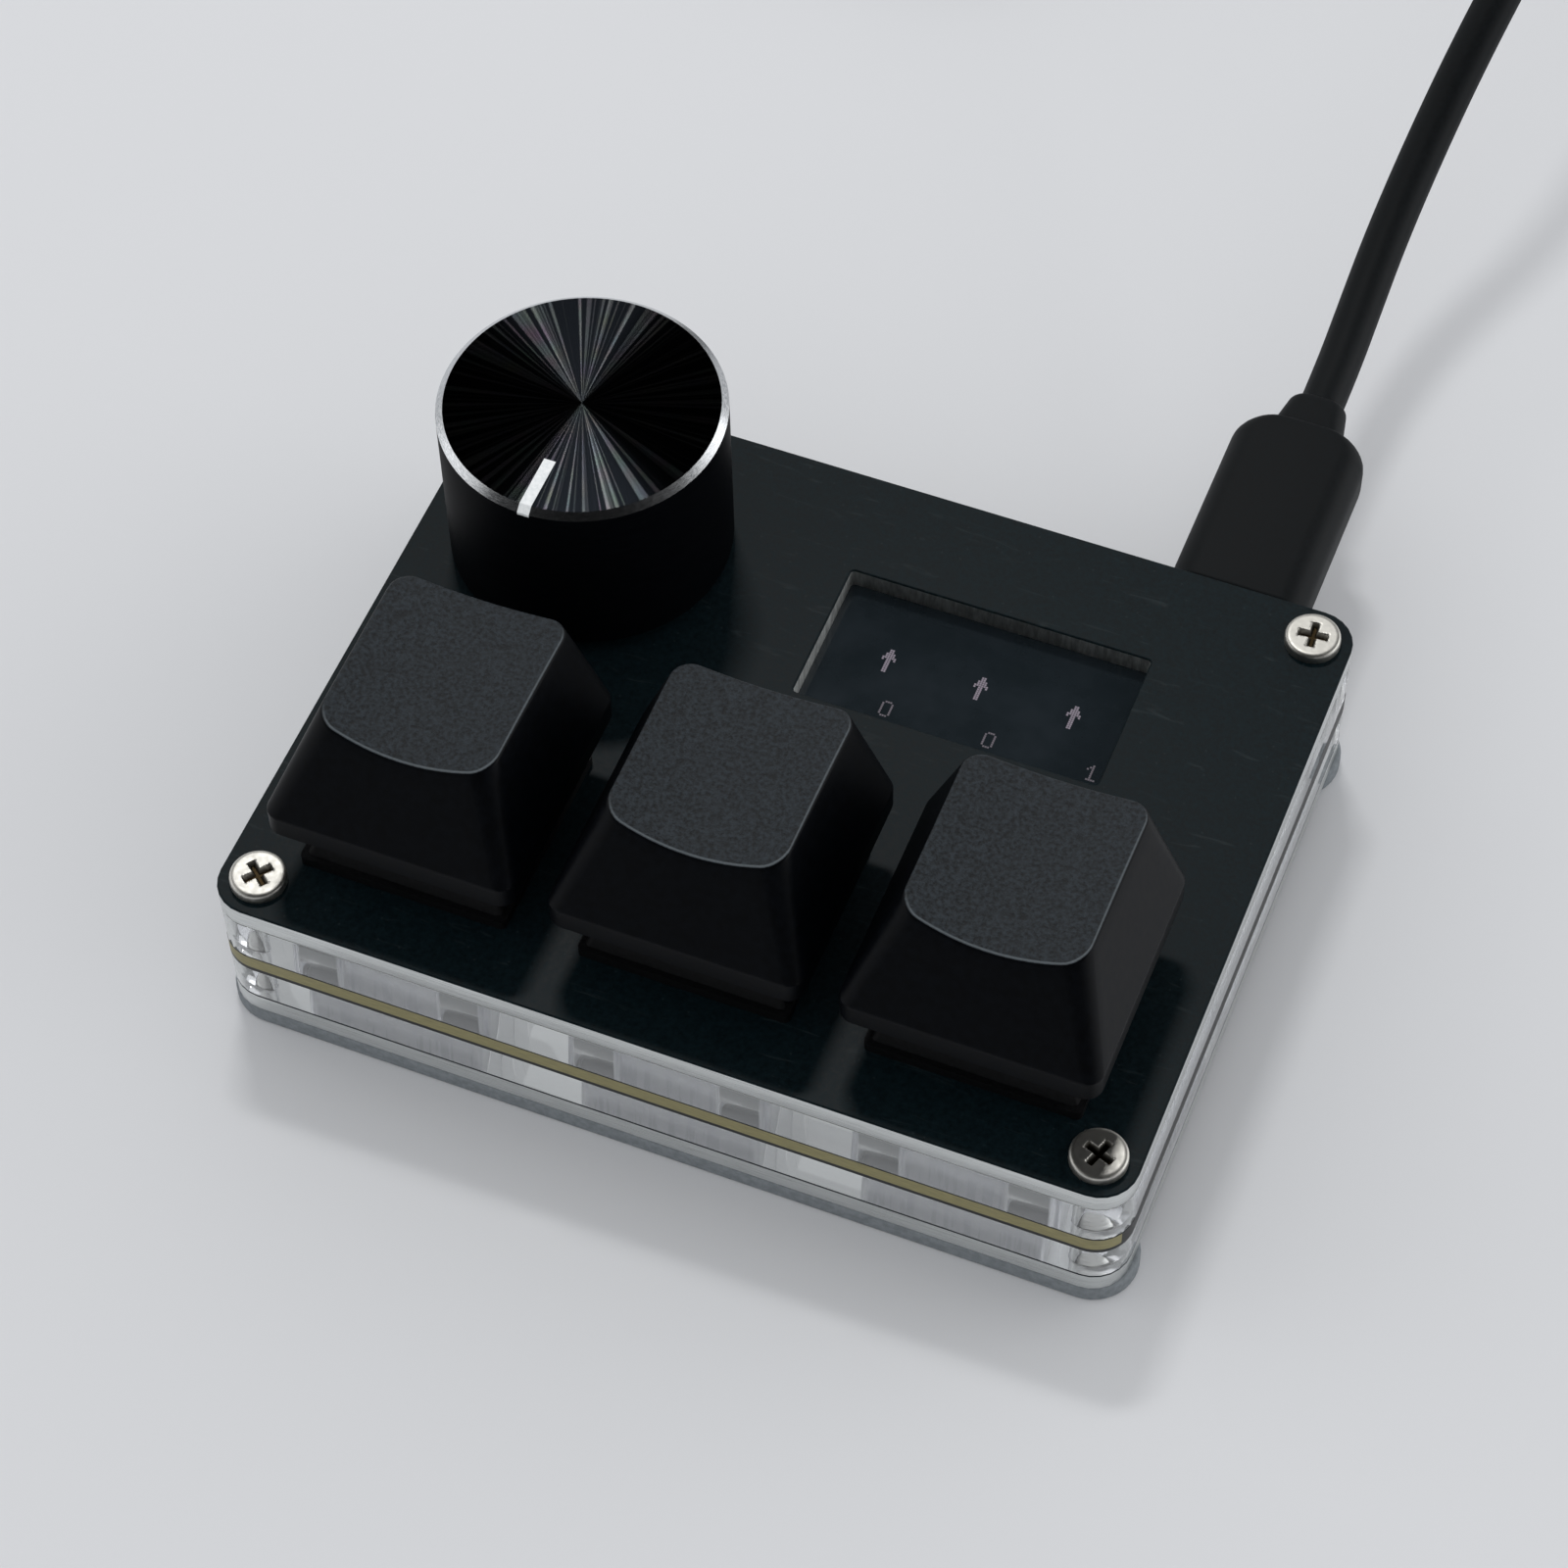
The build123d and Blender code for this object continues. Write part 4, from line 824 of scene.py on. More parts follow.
def slotted_outline(node):
    """The spacer's outline with the socket's slot cut in from the rear edge."""
    side = 0.25 * MM
    low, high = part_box(node)
    socket_low, socket_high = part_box("usb_receptacle")
    left = socket_low.x - side
    right = socket_high.x + side
    front = socket_low.y - side
    corners = [(low.x, low.y), (high.x, low.y), (high.x, high.y), (right, high.y), (right, front)]
    corners += [(left, front), (left, high.y), (low.x, high.y)]
    outer = bpy.context.scene.keypad_plates.corner_radius
    cut = 0.1 * MM
    return rounded_polygon(corners, [outer, outer, outer, cut, cut, cut, cut, outer])


def clip_pocket(centre, width):
    """A switch's square pocket with two notches in front and two behind for its clips."""
    plates = bpy.context.scene.keypad_plates
    half = width / 2
    reach = half + plates.notch_depth
    far = half - plates.notch_inset
    near = far - plates.notch_width
    quarter = np.array([(near, -half), (near, -reach), (far, -reach), (far, -half)])
    front = np.concatenate([quarter[::-1] * [-1, 1], quarter])
    rear = -front
    corners = np.concatenate([[(-half, -half)], front, [(half, -half), (half, half)], rear, [(-half, half)]])
    corner = plates.pocket_radius / 2
    radius = [corner] + [NOTCH_CORNER] * 8 + [corner] * 2 + [NOTCH_CORNER] * 8 + [corner]
    return rounded_polygon(np.asarray(centre) + corners, radius, 4)


def with_clear_walls(points, faces, slots, width):
    """The finish slots, with 1, the glossy edge, for walls the laser cuts in one clean pass.

    They are the screw holes and the notches' far walls: the faces whose middle lies within the screw hole's
    reach of a screw, or as far in front of or behind a key as the notches reach.
    """
    plates = bpy.context.scene.keypad_plates
    middles = points[np.array([np.resize(face, 4) for face in faces])].mean(axis=1)[:, None, :2]
    away = np.abs(middles - np.array(key_places()))
    reach = width / 2 + plates.notch_depth
    far = (away[..., 0] < width / 2) & (np.abs(away[..., 1] - reach) < CLEAN_CUT_REACH)
    screwed = np.linalg.norm(middles - np.array(screw_places()), axis=2) < SCREW_HOLE_REACH
    return np.where((far.any(axis=1) | screwed.any(axis=1)) & (np.array(slots) == 2), 1, slots)


class KEYPAD_OT_make_spacers(bpy.types.Operator):
    """Makes the two clear spacers with their pockets"""

    bl_idname = "keypad.make_spacers"
    bl_label = "Clear spacers"

    def execute(self, context):
        plates = context.scene.keypad_plates
        radius = plates.pocket_radius
        upper_key = plates.key_cutout + SWITCH_ROOM
        encoder_pocket = rounded_loop(middle_of("encoder_base"), *ENCODER_POCKET, radius)
        glass_low, glass_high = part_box("display_glass")
        flex_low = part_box("display_flex")[0]
        room = 0.3 * MM
        front = flex_low.y - 2 * room
        rear = glass_high.y + room
        width = glass_high.x - glass_low.x + 2 * room
        display_pocket = rounded_loop((middle_of("display_glass")[0], (front + rear) / 2), width, rear - front, radius)
        parts_pocket = rounded_loop(PARTS_MIDDLE, *PARTS_POCKET, radius)
        upper_holes = [clip_pocket(place, upper_key) for place in key_places()]
        lower_holes = [rounded_loop(place, *LOWER_KEY_POCKET, radius) for place in key_places()]
        upper_holes = [*screw_holes(), *upper_holes, encoder_pocket, display_pocket]
        lower_holes = [*screw_holes(), *lower_holes, encoder_pocket, parts_pocket]
        self.place("upper_spacer", slotted_outline("upper_spacer"), upper_holes, upper_key)
        self.place("lower_spacer", plate_outline("lower_spacer"), lower_holes, LOWER_KEY_POCKET[0])
        return {"FINISHED"}

    def place(self, node, outline, holes, pocket):
        """The acrylic keeps a hair's breadth of air above and below, as laid sheets do."""
        air = 0.02 * MM
        rounding = 0.05 * MM
        low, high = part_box(node)
        profile = edge_profile(low.z + air, high.z - air, rounding, 2)
        points, faces, slots, rim = sheet_surface(outline, holes, profile)
        slots = with_clear_walls(points, faces, slots, pocket)
        finishes = ["clear_acrylic", "acrylic_edge", "acrylic_wall"]
        place_piece(f"{node}_acrylic", points, faces, "base", finishes, [node], slots, rim)


class KEYPAD_OT_make_feet(bpy.types.Operator):
    """Makes the two rubber foot strips"""

    bl_idname = "keypad.make_feet"
    bl_label = "Foot strips"

    def execute(self, context):
        rounding = 0.3 * MM
        for node in ("front_foot_strip", "rear_foot_strip"):
            low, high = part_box(node)
            size = size_of(node)
            # A hair under half the depth keeps the two arcs of each end apart.
            outline = rounded_loop(middle_of(node), size.x, size.y, size.y * 0.499, steps=10)
            points, faces, _, _ = sheet_surface(outline, [], edge_profile(low.z, high.z, rounding))
            place_piece(f"{node}_rubber", points, faces, "base", ["grey_rubber"], [node])
        return {"FINISHED"}


def screw_head_surface(low, top, radius):
    """A pan head: a turned crown with a cross pressed in.

    The height at a point is the crown's, less the recess depth: how far the point lies inside either arm of
    the cross, times the recess's steepness, up to its full depth.
    """
    crown_rounding = 0.32 * MM
    half_span = 1.1 * MM
    half_width = 0.3 * MM
    steepness = 2.5
    full_depth = 0.45 * MM
    flat_rings = 26
    crown = softened([(CENTRAL_POINT, top), (radius, top), (radius, low)], crown_rounding, 5)
    flat = np.stack([np.linspace(CENTRAL_POINT, crown[1, 0], flat_rings), np.full(flat_rings, top)], axis=1)
    profile = np.concatenate([flat, crown[2:]])
    rings = turned_rings(profile[:, :1], profile[:, 1], (0, 0), 72)
    x, y, z = np.abs(np.moveaxis(rings, -1, 0))
    along_x = np.minimum(half_span - x, half_width - y)
    along_y = np.minimum(half_span - y, half_width - x)
    depth = np.clip(np.maximum(along_x, along_y) * steepness, 0, full_depth)
    depth = depth * (z > top - 0.1 * MM)
    rings[..., 2] -= depth
    points, faces = skin(rings)
    return points, faces, (depth / full_depth).ravel()


def thread_surface(low, top, radius, pitch):
    """A threaded shank: the radius falls by the thread's depth in a triangle wave.

    The wave's phase is the height in pitches less the angle in turns.
    """
    count = 28
    thread_depth = 0.2 * MM
    heights = np.arange(low, top, pitch / 8)
    phase = heights[:, None] / pitch - full_turn(count) / (2 * math.pi)
    wave = np.abs(2 * (phase % 1) - 1)
    return skin(turned_rings(radius - thread_depth * wave, heights, (0, 0), count), flip=True)


# How far each screw stopped short of square, front left first, then rear left, front right, rear right.
SCREW_TURNS = [math.radians(turn) for turn in (39, 25, 20, -5)]


class KEYPAD_OT_make_screws(bpy.types.Operator):
    """Makes the four corner screws with their crosses and threads"""

    bl_idname = "keypad.make_screws"
    bl_label = "Screws"

    def execute(self, context):
        plates = context.scene.keypad_plates
        low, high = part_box("corner_screws")
        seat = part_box("top_plate")[1].z
        head_radius = (high.x - low.x) / 2 - (screw_places()[-1][0] - screw_places()[0][0]) / 2
        *head, depth = screw_head_surface(seat, high.z, head_radius)
        shank_radius = 1.0 * MM
        into_head = 0.1 * MM
        shank = thread_surface(low.z, seat + into_head, shank_radius, plates.thread_pitch)
        points, faces = joined(head, shank)
        turns = [Matrix.Rotation(turn, 3, "Z") for turn in SCREW_TURNS]
        screws = [(points @ turn + (*place, 0), faces) for turn, place in zip(turns, screw_places())]
        piece = place_piece("corner_screws_plated", *joined(*screws), "base", ["screw_steel"], ["corner_screws"])
        recess = np.concatenate([depth, np.zeros(len(points) - len(depth))])
        mark_points(piece, "recess", np.tile(recess, len(screws)))
        return {"FINISHED"}


# ---------------------------------------------------------------- keycaps
# The dish and the ceiling end in a ring of this share of their size.
MIDDLE_SHARE = 0.02
# Corner radius of the outline at the skirt, and how much it grows to the top.
SKIRT_CORNER = 1.2 * MM
TOP_CORNER_MORE = 0.4 * MM
SKIRT_EDGE = 0.1 * MM
POST_RADIUS = 2.75 * MM
# The cross socket: half the width of an arm, half its span, and the rounding of its corners.
CROSS_BLADE = 0.635 * MM
CROSS_SPAN = 2.05 * MM
CROSS_CORNER = 0.1 * MM


def corner_walk(steps, between):
    """A walk round a rounded rectangle, for any size of it.

    Gives each point's place, from -1 to 1 across and along the straight parts, and its outward direction.
    """
    signs = np.array([[1.0, 1.0], [-1.0, 1.0], [-1.0, -1.0], [1.0, -1.0]])
    turn = np.concatenate([np.linspace(0, math.pi / 2, steps + 1), np.full(between, math.pi / 2)])
    share = np.concatenate([np.zeros(steps + 1), np.linspace(0, 1, between + 2)[1:-1]])
    angles = (np.arange(4)[:, None] * math.pi / 2 + turn).ravel()
    onward = np.roll(signs, -1, axis=0) - signs
    place = (signs[:, None] + share[None, :, None] * onward[:, None]).reshape(-1, 2)
    return place, np.stack([np.cos(angles), np.sin(angles)], axis=1)


def cap_plan(height, inset, outward, corner):
    """Points of the cap's outline at each height above its skirt, drawn in all round by the inset.

    The outline keeps its size up to the band and then narrows evenly to the top: its width, front, rear and
    corner radius run from the skirt's to the top's.
    """
    caps = bpy.context.scene.keypad_caps
    size = size_of("keycap_middle")
    rise = np.maximum(0, (height - caps.band_height) / (caps.front_height - caps.band_height))
    width = size.x + (caps.top_width - size.x) * rise
    front = -size.y / 2 + (caps.top_front + size.y / 2) * rise
    rear = size.y / 2 + (caps.top_rear - size.y / 2) * rise
    radius = SKIRT_CORNER + TOP_CORNER_MORE * rise - inset * 0.4
    x = corner[:, 0] * (width / 2 - inset - radius) + radius * outward[:, 0]
    y = (front + rear) / 2 + corner[:, 1] * ((rear - front) / 2 - inset - radius) + radius * outward[:, 1]
    return x, y


def dish_height(x, y):
    """Height of the finger dish above the skirt.

    Across the key it is a circular arc through both top edges, deeper at the front than at the rear, and
    between front and rear it runs straight.
    """
    caps = bpy.context.scene.keypad_caps
    half = caps.top_width / 2

    def arc(edge, depth):
        radius = (half**2 + depth**2) / (2 * depth)
        return edge - depth + radius - np.sqrt(radius**2 - x**2)

    beyond = 1.0 * MM
    front = caps.top_front - beyond
    rear = caps.top_rear + beyond
    share = (y - front) / (rear - front)
    return (1 - share) * arc(caps.front_height, caps.front_dish) + share * arc(caps.rear_height, caps.rear_dish)


def cap_ceiling():
    """Height of the cap's inner ceiling above its skirt, 1.5 mm under the middle of the dish."""
    caps = bpy.context.scene.keypad_caps
    return caps.rear_height - 1.5 * MM - (caps.front_dish + caps.rear_dish) / 2


def cap_surface():
    """One keycap about its own middle, with heights above its skirt.

    Its loops run down the inside wall, round the skirt, up the outside to the rim, over the rim in a parabola
    and inwards over the dish.
    """
    caps = bpy.context.scene.keypad_caps
    corner, outward = corner_walk(8, 15)
    count = len(corner)
    rim_height = np.full(count, caps.rear_height)
    # The rim lies where the sides meet the dish: each round comes nearer to that height.
    for _ in range(12):
        rim_height = dish_height(*cap_plan(rim_height, 0, outward, corner))
    rim = np.stack([*cap_plan(rim_height, 0, outward, corner), rim_height], axis=1)
    reach = caps.rim_rounding
    below = rim_height - reach
    side = np.stack([*cap_plan(below, 0, outward, corner), below], axis=1)
    centre = np.array([0.0, (caps.top_front + caps.top_rear) / 2])
    inwards = centre - rim[:, :2]
    inwards /= np.linalg.norm(inwards, axis=1, keepdims=True)
    top_plan = rim[:, :2] + reach * inwards
    top = np.column_stack([top_plan, dish_height(top_plan[:, 0], top_plan[:, 1])])
    share = np.linspace(0, 1, 6)[:, None, None]
    over_rim = (1 - share) ** 2 * side + 2 * share * (1 - share) * rim + share**2 * top
    shrink = np.linspace(1, MIDDLE_SHARE, 14)[1:, None, None]
    dish_plan = centre + shrink * (top_plan - centre)
    dish = np.concatenate([dish_plan, dish_height(dish_plan[..., 0], dish_plan[..., 1])[..., None]], axis=2)

    def ring(height, inset):
        x, y = cap_plan(np.full(count, height), inset, outward, corner)
        return np.stack([x, y, np.full(count, height)], axis=1)

    inner_edge = ring(cap_ceiling(), caps.wall)
    inner_middle = np.array([0.0, inner_edge[:, 1].mean(), cap_ceiling()])
    inner_start = inner_middle + (inner_edge - inner_middle) * MIDDLE_SHARE
    inner = [inner_start, inner_edge, ring(caps.band_height, caps.wall)]
    foot = [ring(SKIRT_EDGE, caps.wall), ring(0, caps.wall - SKIRT_EDGE), ring(0, SKIRT_EDGE), ring(SKIRT_EDGE, 0)]
    # A loop close under the band's top and one close above it keep that edge crisp.
    foot.append(ring(caps.band_height - 0.15 * MM, 0))
    rise = np.concatenate([[0, 0.02], np.linspace(0, 1, 8)[1:]])[:, None]
    heights = caps.band_height + rise * (below - caps.band_height)[None]
    slope = [np.stack([*cap_plan(height, 0, outward, corner), height], axis=1) for height in heights]
    rings = np.concatenate([np.array(inner + foot + slope[:-1]), over_rim, dish])
    points, faces = skin(rings[::-1])
    slots = np.ones(len(faces), dtype=int)
    slots[: (len(dish) + len(over_rim) // 2) * count] = 0
    slots[-2] = 0
    worn = np.zeros((len(rings), count))
    first_over_rim = len(inner) + len(foot) + len(slope) - 1
    # The middle of the rim carries a painted highlight, paler where it faces the front and the right.
    worn[first_over_rim + 3] = np.clip(outward @ np.array([0.5, -0.87]) + 0.3, 0, 1)
    return points, faces, slots, worn[::-1].ravel()


def cap_post_surface(low, top):
    """The round post inside the cap, with the cross socket that takes the stem."""
    arm = np.array([[CROSS_BLADE, -CROSS_BLADE], [CROSS_SPAN, -CROSS_BLADE], [CROSS_SPAN, CROSS_BLADE]])
    quarter_turn = np.array([[0, 1], [-1, 0]])
    arms = [arm @ np.linalg.matrix_power(quarter_turn, i) for i in range(4)]
    cross = rounded_polygon(np.concatenate(arms), CROSS_CORNER, 2)
    outline = round_loop((0, 0), POST_RADIUS)
    rounding = 0.05 * MM
    points, faces, _, _ = sheet_surface(outline, [cross], edge_profile(low, top, rounding, 1))
    return points, faces


class KEYPAD_OT_make_keycaps(bpy.types.Operator):
    """Makes the three dished keycaps"""

    bl_idname = "keypad.make_keycaps"
    bl_label = "Keycaps"

    def execute(self, context):
        *shell, shell_slots, shell_rim_highlight = cap_surface()
        cap_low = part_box("keycap_middle")[0].z
        post_low = 1.6 * MM
        into_ceiling = 0.1 * MM
        points, faces = joined(shell, cap_post_surface(post_low, cap_ceiling() + into_ceiling))
        slots = np.ones(len(faces), dtype=int)
        slots[: len(shell_slots)] = shell_slots
        worn = np.zeros(len(points))
        worn[: len(shell_rim_highlight)] = shell_rim_highlight
        finishes = ["keycap_plastic", "keycap_side"]
        for key in KEYS:
            node = f"keycap_{key}"
            place = (*middle_of(node), cap_low)
            piece = place_piece(f"{node}_moulded", points + place, faces, f"{key}_key", finishes, [node], slots)
            mark_points(piece, "worn", worn)
        return {"FINISHED"}


# ---------------------------------------------------------------- knob
class KEYPAD_OT_make_knob(bpy.types.Operator):
    """Makes the knob with its bright chamfer and its pointer line"""

    bl_idname = "keypad.make_knob"
    bl_label = "Knob"

    def execute(self, context):
        knob = context.scene.keypad_knob
        low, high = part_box("knob_shell")
        centre = middle_of("knob_shell")
        outer = (high.x - low.x) / 2
        rim = outer - knob.chamfer_width
        shoulder = high.z - knob.chamfer_drop
        ceiling = high.z - 1.5 * MM
        step = low.z + 4.6 * MM
        bore = 5.02 * MM
        mouth = 8.2 * MM
        foot_rounding = 0.15 * MM
        under = [(CENTRAL_POINT, ceiling), (bore, ceiling), (bore, step), (mouth, step), (mouth, low.z)]
        side = softened([(mouth, low.z), (outer, low.z), (outer, shoulder)], foot_rounding)
        chamfer = [(rim, high.z)]
        face = [(rim * share, high.z) for share in (0.999, 0.8, 0.6, 0.4, 0.2, 0.002)]
        profile = np.concatenate([under, side[1:], chamfer, face])
        rings = turned_rings(profile[:, :1], profile[:, 1], centre, 180)
        points, faces = skin(rings[::-1])
        rows = len(profile)
        columns = rings.shape[1]
        bands = np.repeat(np.arange(rows - 1), columns)
        last_of_face = len(face)
        slots = np.where(bands < last_of_face, 0, np.where(bands == last_of_face, 2, 1))
        slots = np.concatenate([slots, [0, 1]])
        finishes = ["knob_aluminium", "knob_side", "knob_chamfer"]
        piece = place_piece("knob_turned", points, faces, "knob", finishes, ["knob_shell"], slots)
        self.lay_spokes(piece.data, centre)
        self.make_pointer(knob, centre, outer, rim, high.z, shoulder)
        return {"FINISHED"}

    def lay_spokes(self, mesh, centre):
        """A UV map whose first direction runs out from the knob's middle: the radius in cm and the angle in turns."""
        corners = np.empty(len(mesh.loops), dtype=np.int32)
        mesh.loops.foreach_get("vertex_index", corners)
        places = np.empty(len(mesh.vertices) * 3)
        mesh.vertices.foreach_get("co", places)
        across = places.reshape(-1, 3)[corners, :2] - np.array(centre)
        angle = np.arctan2(across[:, 1], across[:, 0]) / (2 * math.pi)
        starts = np.empty(len(mesh.polygons), dtype=np.int32)
        totals = np.empty(len(mesh.polygons), dtype=np.int32)
        mesh.polygons.foreach_get("loop_start", starts)
        mesh.polygons.foreach_get("loop_total", totals)
        first = np.repeat(angle[starts], totals)
        angle = first + (angle - first + 0.5) % 1 - 0.5
        layer = mesh.uv_layers.new(name="spokes")
        layer.data.foreach_set("uv", np.stack([np.hypot(*across.T) * 100, angle], axis=1).ravel())

    def make_pointer(self, knob, centre, outer, rim, top, shoulder):
        """An inlay that follows the top and the chamfer, a hair proud of them."""
        proud = 0.015 * MM
        half = knob.pointer_width / 2
        line = np.array([(knob.pointer_start, top), (rim, top), (outer, shoulder)]) + [0, proud]
        line[-1, 0] += proud
        thickness = 0.2 * MM
        across = np.array([(-half, 0), (half, 0), (half, -thickness), (-half, -thickness)])
        x = centre[0] + np.broadcast_to(across[:, 0], (3, 4))
        y = centre[1] - np.broadcast_to(line[:, :1], (3, 4))
        z = line[:, 1:] + across[:, 1]
        surface = skin(np.stack([x, y, z], axis=2))
        place_piece("knob_pointer_filled", *surface, "knob", ["pointer_white"], ["knob_pointer"])


# ---------------------------------------------------------------- display
ARROW = ("..##..", "..##..", ".####.", ".####.", "######", "#.##.#") + ("..##..",) * 6
ZERO = (".###.",) + ("#...#",) * 6 + (".###.",)
ONE = ("..#..", ".##..", "#.#..") + ("..#..",) * 4 + (".####",)
# Where each sign's middle lies, in millimetres: the arrows are bright and the digits dim.
ARROW_PLACES = ((2.47, 11.25), (9.27, 11.28), (16.09, 11.26))
DIGITS = ((ZERO, (3.82, 7.32)), (ZERO, (11.36, 7.36)), (ONE, (18.86, 7.29)))


class KEYPAD_OT_make_display(bpy.types.Operator):
    """Makes the display's lit arrows and digits, and finishes its glass"""

    bl_idname = "keypad.make_display"
    bl_label = "Display"

    def execute(self, context):
        dress_nodes("display_glass", ["display_glass", "display_back_glass"])
        dress_nodes("black_foam", ["display_foam"])
        dress_nodes("amber_film", ["display_flex"])
        signs = [(ARROW, place) for place in ARROW_PLACES] + list(DIGITS)
        pitch = context.scene.keypad_display.dot_pitch
        groups = [self.dots(sign, np.array(place) * MM, pitch) for sign, place in signs]
        bright = sum(len(group) for group in groups[: len(ARROW_PLACES)])
        dots = np.concatenate(groups)
        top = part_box("display_glass")[1].z
        # A dot fills 0.82 of the pitch, 0.005 mm above the glass and 0.01 mm thick.
        half = pitch * 0.41
        corner = np.array([[-half, -half, 0], [half, -half, 0], [half, half, 0], [-half, half, 0]])
        low = dots[:, None] + corner + [0, 0, top + 0.005 * MM]
        high = low + [0, 0, 0.01 * MM]
        points = np.concatenate([low, high], axis=1).reshape(-1, 3)
        box = np.array([[3, 2, 1, 0], [4, 5, 6, 7], [0, 1, 5, 4], [1, 2, 6, 5], [2, 3, 7, 6], [3, 0, 4, 7]])
        faces = (box[None] + np.arange(len(dots))[:, None, None] * 8).reshape(-1, 4)
        slots = np.where(np.arange(len(faces)) < bright * len(box), 0, 1)
        finishes = ["display_dots", "dim_display_dots"]
        place_piece("display_lit_dots", points, faces, "base", finishes, face_slots=slots, slot="display_glass")
        return {"FINISHED"}

    def dots(self, sign, centre, pitch):
        """The middle of each lit dot: its column and row from the sign's middle, times the pitch."""
        lit = np.array([[mark == "#" for mark in row] for row in sign])
        row, column = np.nonzero(lit)
        x = centre[0] + (column - (lit.shape[1] - 1) / 2) * pitch
        y = centre[1] - (row - (lit.shape[0] - 1) / 2) * pitch
        return np.stack([x, y, np.zeros(len(x))], axis=1)


# ---------------------------------------------------------------- electronics, switches and encoder
INNER_PARTS = {
    "circuit_laminate": ["circuit_board"],
    "chip_epoxy": ["microcontroller", "voltage_regulator", "chip_resistors", "key_diodes"],
    "ceramic": ["chip_capacitors"],
    "nickel_silver": ["encoder_cover", "encoder_bushing", "encoder_shaft", "crystal"]
    + ["usb_receptacle", "plug_shell", "far_plug_shell"],
    "housing_plastic": ["encoder_base", "encoder_plunger", "knob_insert", "usb_tongue"]
    + [f"{part}_{key}" for part in ("switch_base", "switch_cover") for key in KEYS],
    "stem_plastic": [f"switch_stem_{key}" for key in KEYS],
    "contact_copper": ["encoder_pins"] + [f"switch_contacts_{key}" for key in KEYS],
}
SPRING_WIRE = 0.3 * MM


class KEYPAD_OT_finish_inner_parts(bpy.types.Operator):
    """Finishes the board, its parts, the switches, the encoder and the socket"""

    bl_idname = "keypad.finish_inner_parts"
    bl_label = "Inner parts"

    def execute(self, context):
        for key, nodes in INNER_PARTS.items():
            dress_nodes(key, nodes)
        return {"FINISHED"}


def coil_surface(low, high, wire, turns=5, steps=28):
    """A square wire wound into a coil about the middle of its box.

    At an angle t along the wire its middle lies at the coil's radius times (cos t, sin t) and climbs evenly
    with t. The square's corners stand half the wire in and out along the spoke, and half the wire up and down.
    """
    angle = np.linspace(0, 2 * math.pi * turns, turns * steps + 1)
    spoke = np.stack([np.cos(angle), np.sin(angle), np.zeros(len(angle))], axis=1)
    height = np.linspace(low.z + wire / 2, high.z - wire / 2, len(angle))
    middle = (high.x - low.x - wire) / 2 * spoke + [(low.x + high.x) / 2, (low.y + high.y) / 2, 0]
    middle[:, 2] = height
    corners = wire / 2 * np.array([[-1, -1], [1, -1], [1, 1], [-1, 1]])
    upright = np.array([0, 0, 1])
    rings = middle[:, None] + corners[None, :, :1] * spoke[:, None] + corners[None, :, 1:] * upright
    return skin(rings)


class KEYPAD_OT_make_springs(bpy.types.Operator):
    """Winds the keys' return springs, which are squeezed as the keys go down"""

    bl_idname = "keypad.make_springs"
    bl_label = "Key springs"

    def execute(self, context):
        for key in KEYS:
            node = f"switch_spring_{key}"
            low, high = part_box(node)
            surface = coil_surface(low, high, SPRING_WIRE)
            piece = place_piece(f"{node}_wound", *surface, "base", ["spring_steel"], [node])
            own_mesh(piece)
        return {"FINISHED"}


# ---------------------------------------------------------------- lead
# The line the cable comes to the coil on, how far behind the keypad the coil's middle is, and its lowest centre.
CABLE_LINE_X = 26.0 * MM
COIL_MIDDLE_Y = 158.0 * MM
COIL_LOW = 2.15 * MM


def lead_route():
    """The cable's way from the plug to the coil, in metres, as the part's source has it."""
    socket_x = 23.1
    start_y = 45.4
    socket_z = 9.78
    steps = [
        (0.0, 0.0, socket_z),
        (0.0, 4.6, socket_z),
        (-0.1, 10.0, 10.55),
        (-0.1, 16.1, 12.05),
        (0.35, 23.1, 14.55),
        (1.2, 30.1, 17.85),
        (2.4, 37.2, 21.3),
        (3.8, 46.6, 24.2),
        (4.9, 57.6, 24.8),
        (5.4, 68.6, 21.6),
        (5.2, 78.6, 15.2),
        (4.5, 87.1, 8.6),
        (3.5, 95.1, 3.9),
        (2.9, 104.2, 2.15),
    ]
    return (np.array(steps) + [socket_x, start_y, 0]) * MM


def coil_outer_radius(lead):
    """The radius of the coil's outer turn: half its mean diameter and a quarter of a diameter for each turn."""
    return lead.coil_diameter / 2 + lead.coil_turns / 2 * lead.cable_diameter / 2


def coil_route(lead):
    """The coil's points, in metres: inwards turn by turn on the table, then outwards on top.

    The radius falls by one cable diameter a turn to the middle of the run and then rises again; the height
    climbs one diameter there, over half a turn. Points stand outside the line by one over the cosine of half
    their step, because the smooth line runs inside its points.
    """
    diameter = lead.cable_diameter
    half = lead.coil_turns / 2
    outer = coil_outer_radius(lead)
    count = int(lead.points_per_turn * lead.coil_turns) + 1
    turns = np.linspace(0, lead.coil_turns, count)
    radius = outer - diameter * (half - np.abs(turns - half))
    radius = radius / math.cos(math.pi / lead.points_per_turn)
    climb = np.clip((turns - half) * 2 + 0.5, 0, 1)
    angle = turns * 2 * math.pi
    x = CABLE_LINE_X - outer + radius * np.cos(angle)
    y = COIL_MIDDLE_Y + radius * np.sin(angle)
    return np.stack([x, y, COIL_LOW + climb * diameter], axis=1)


def tail_route(start):
    """The last stretch, from the coil's left side to the far plug, in metres."""
    steps = [(0.0, 5.5, 5.45), (-0.9, 12.5, 4.2), (-1.3, 19.0, 3.9), (-1.3, 24.5, 3.9)]
    return np.array([(start[0] + x * MM, start[1] - y * MM, z * MM) for x, y, z in steps])


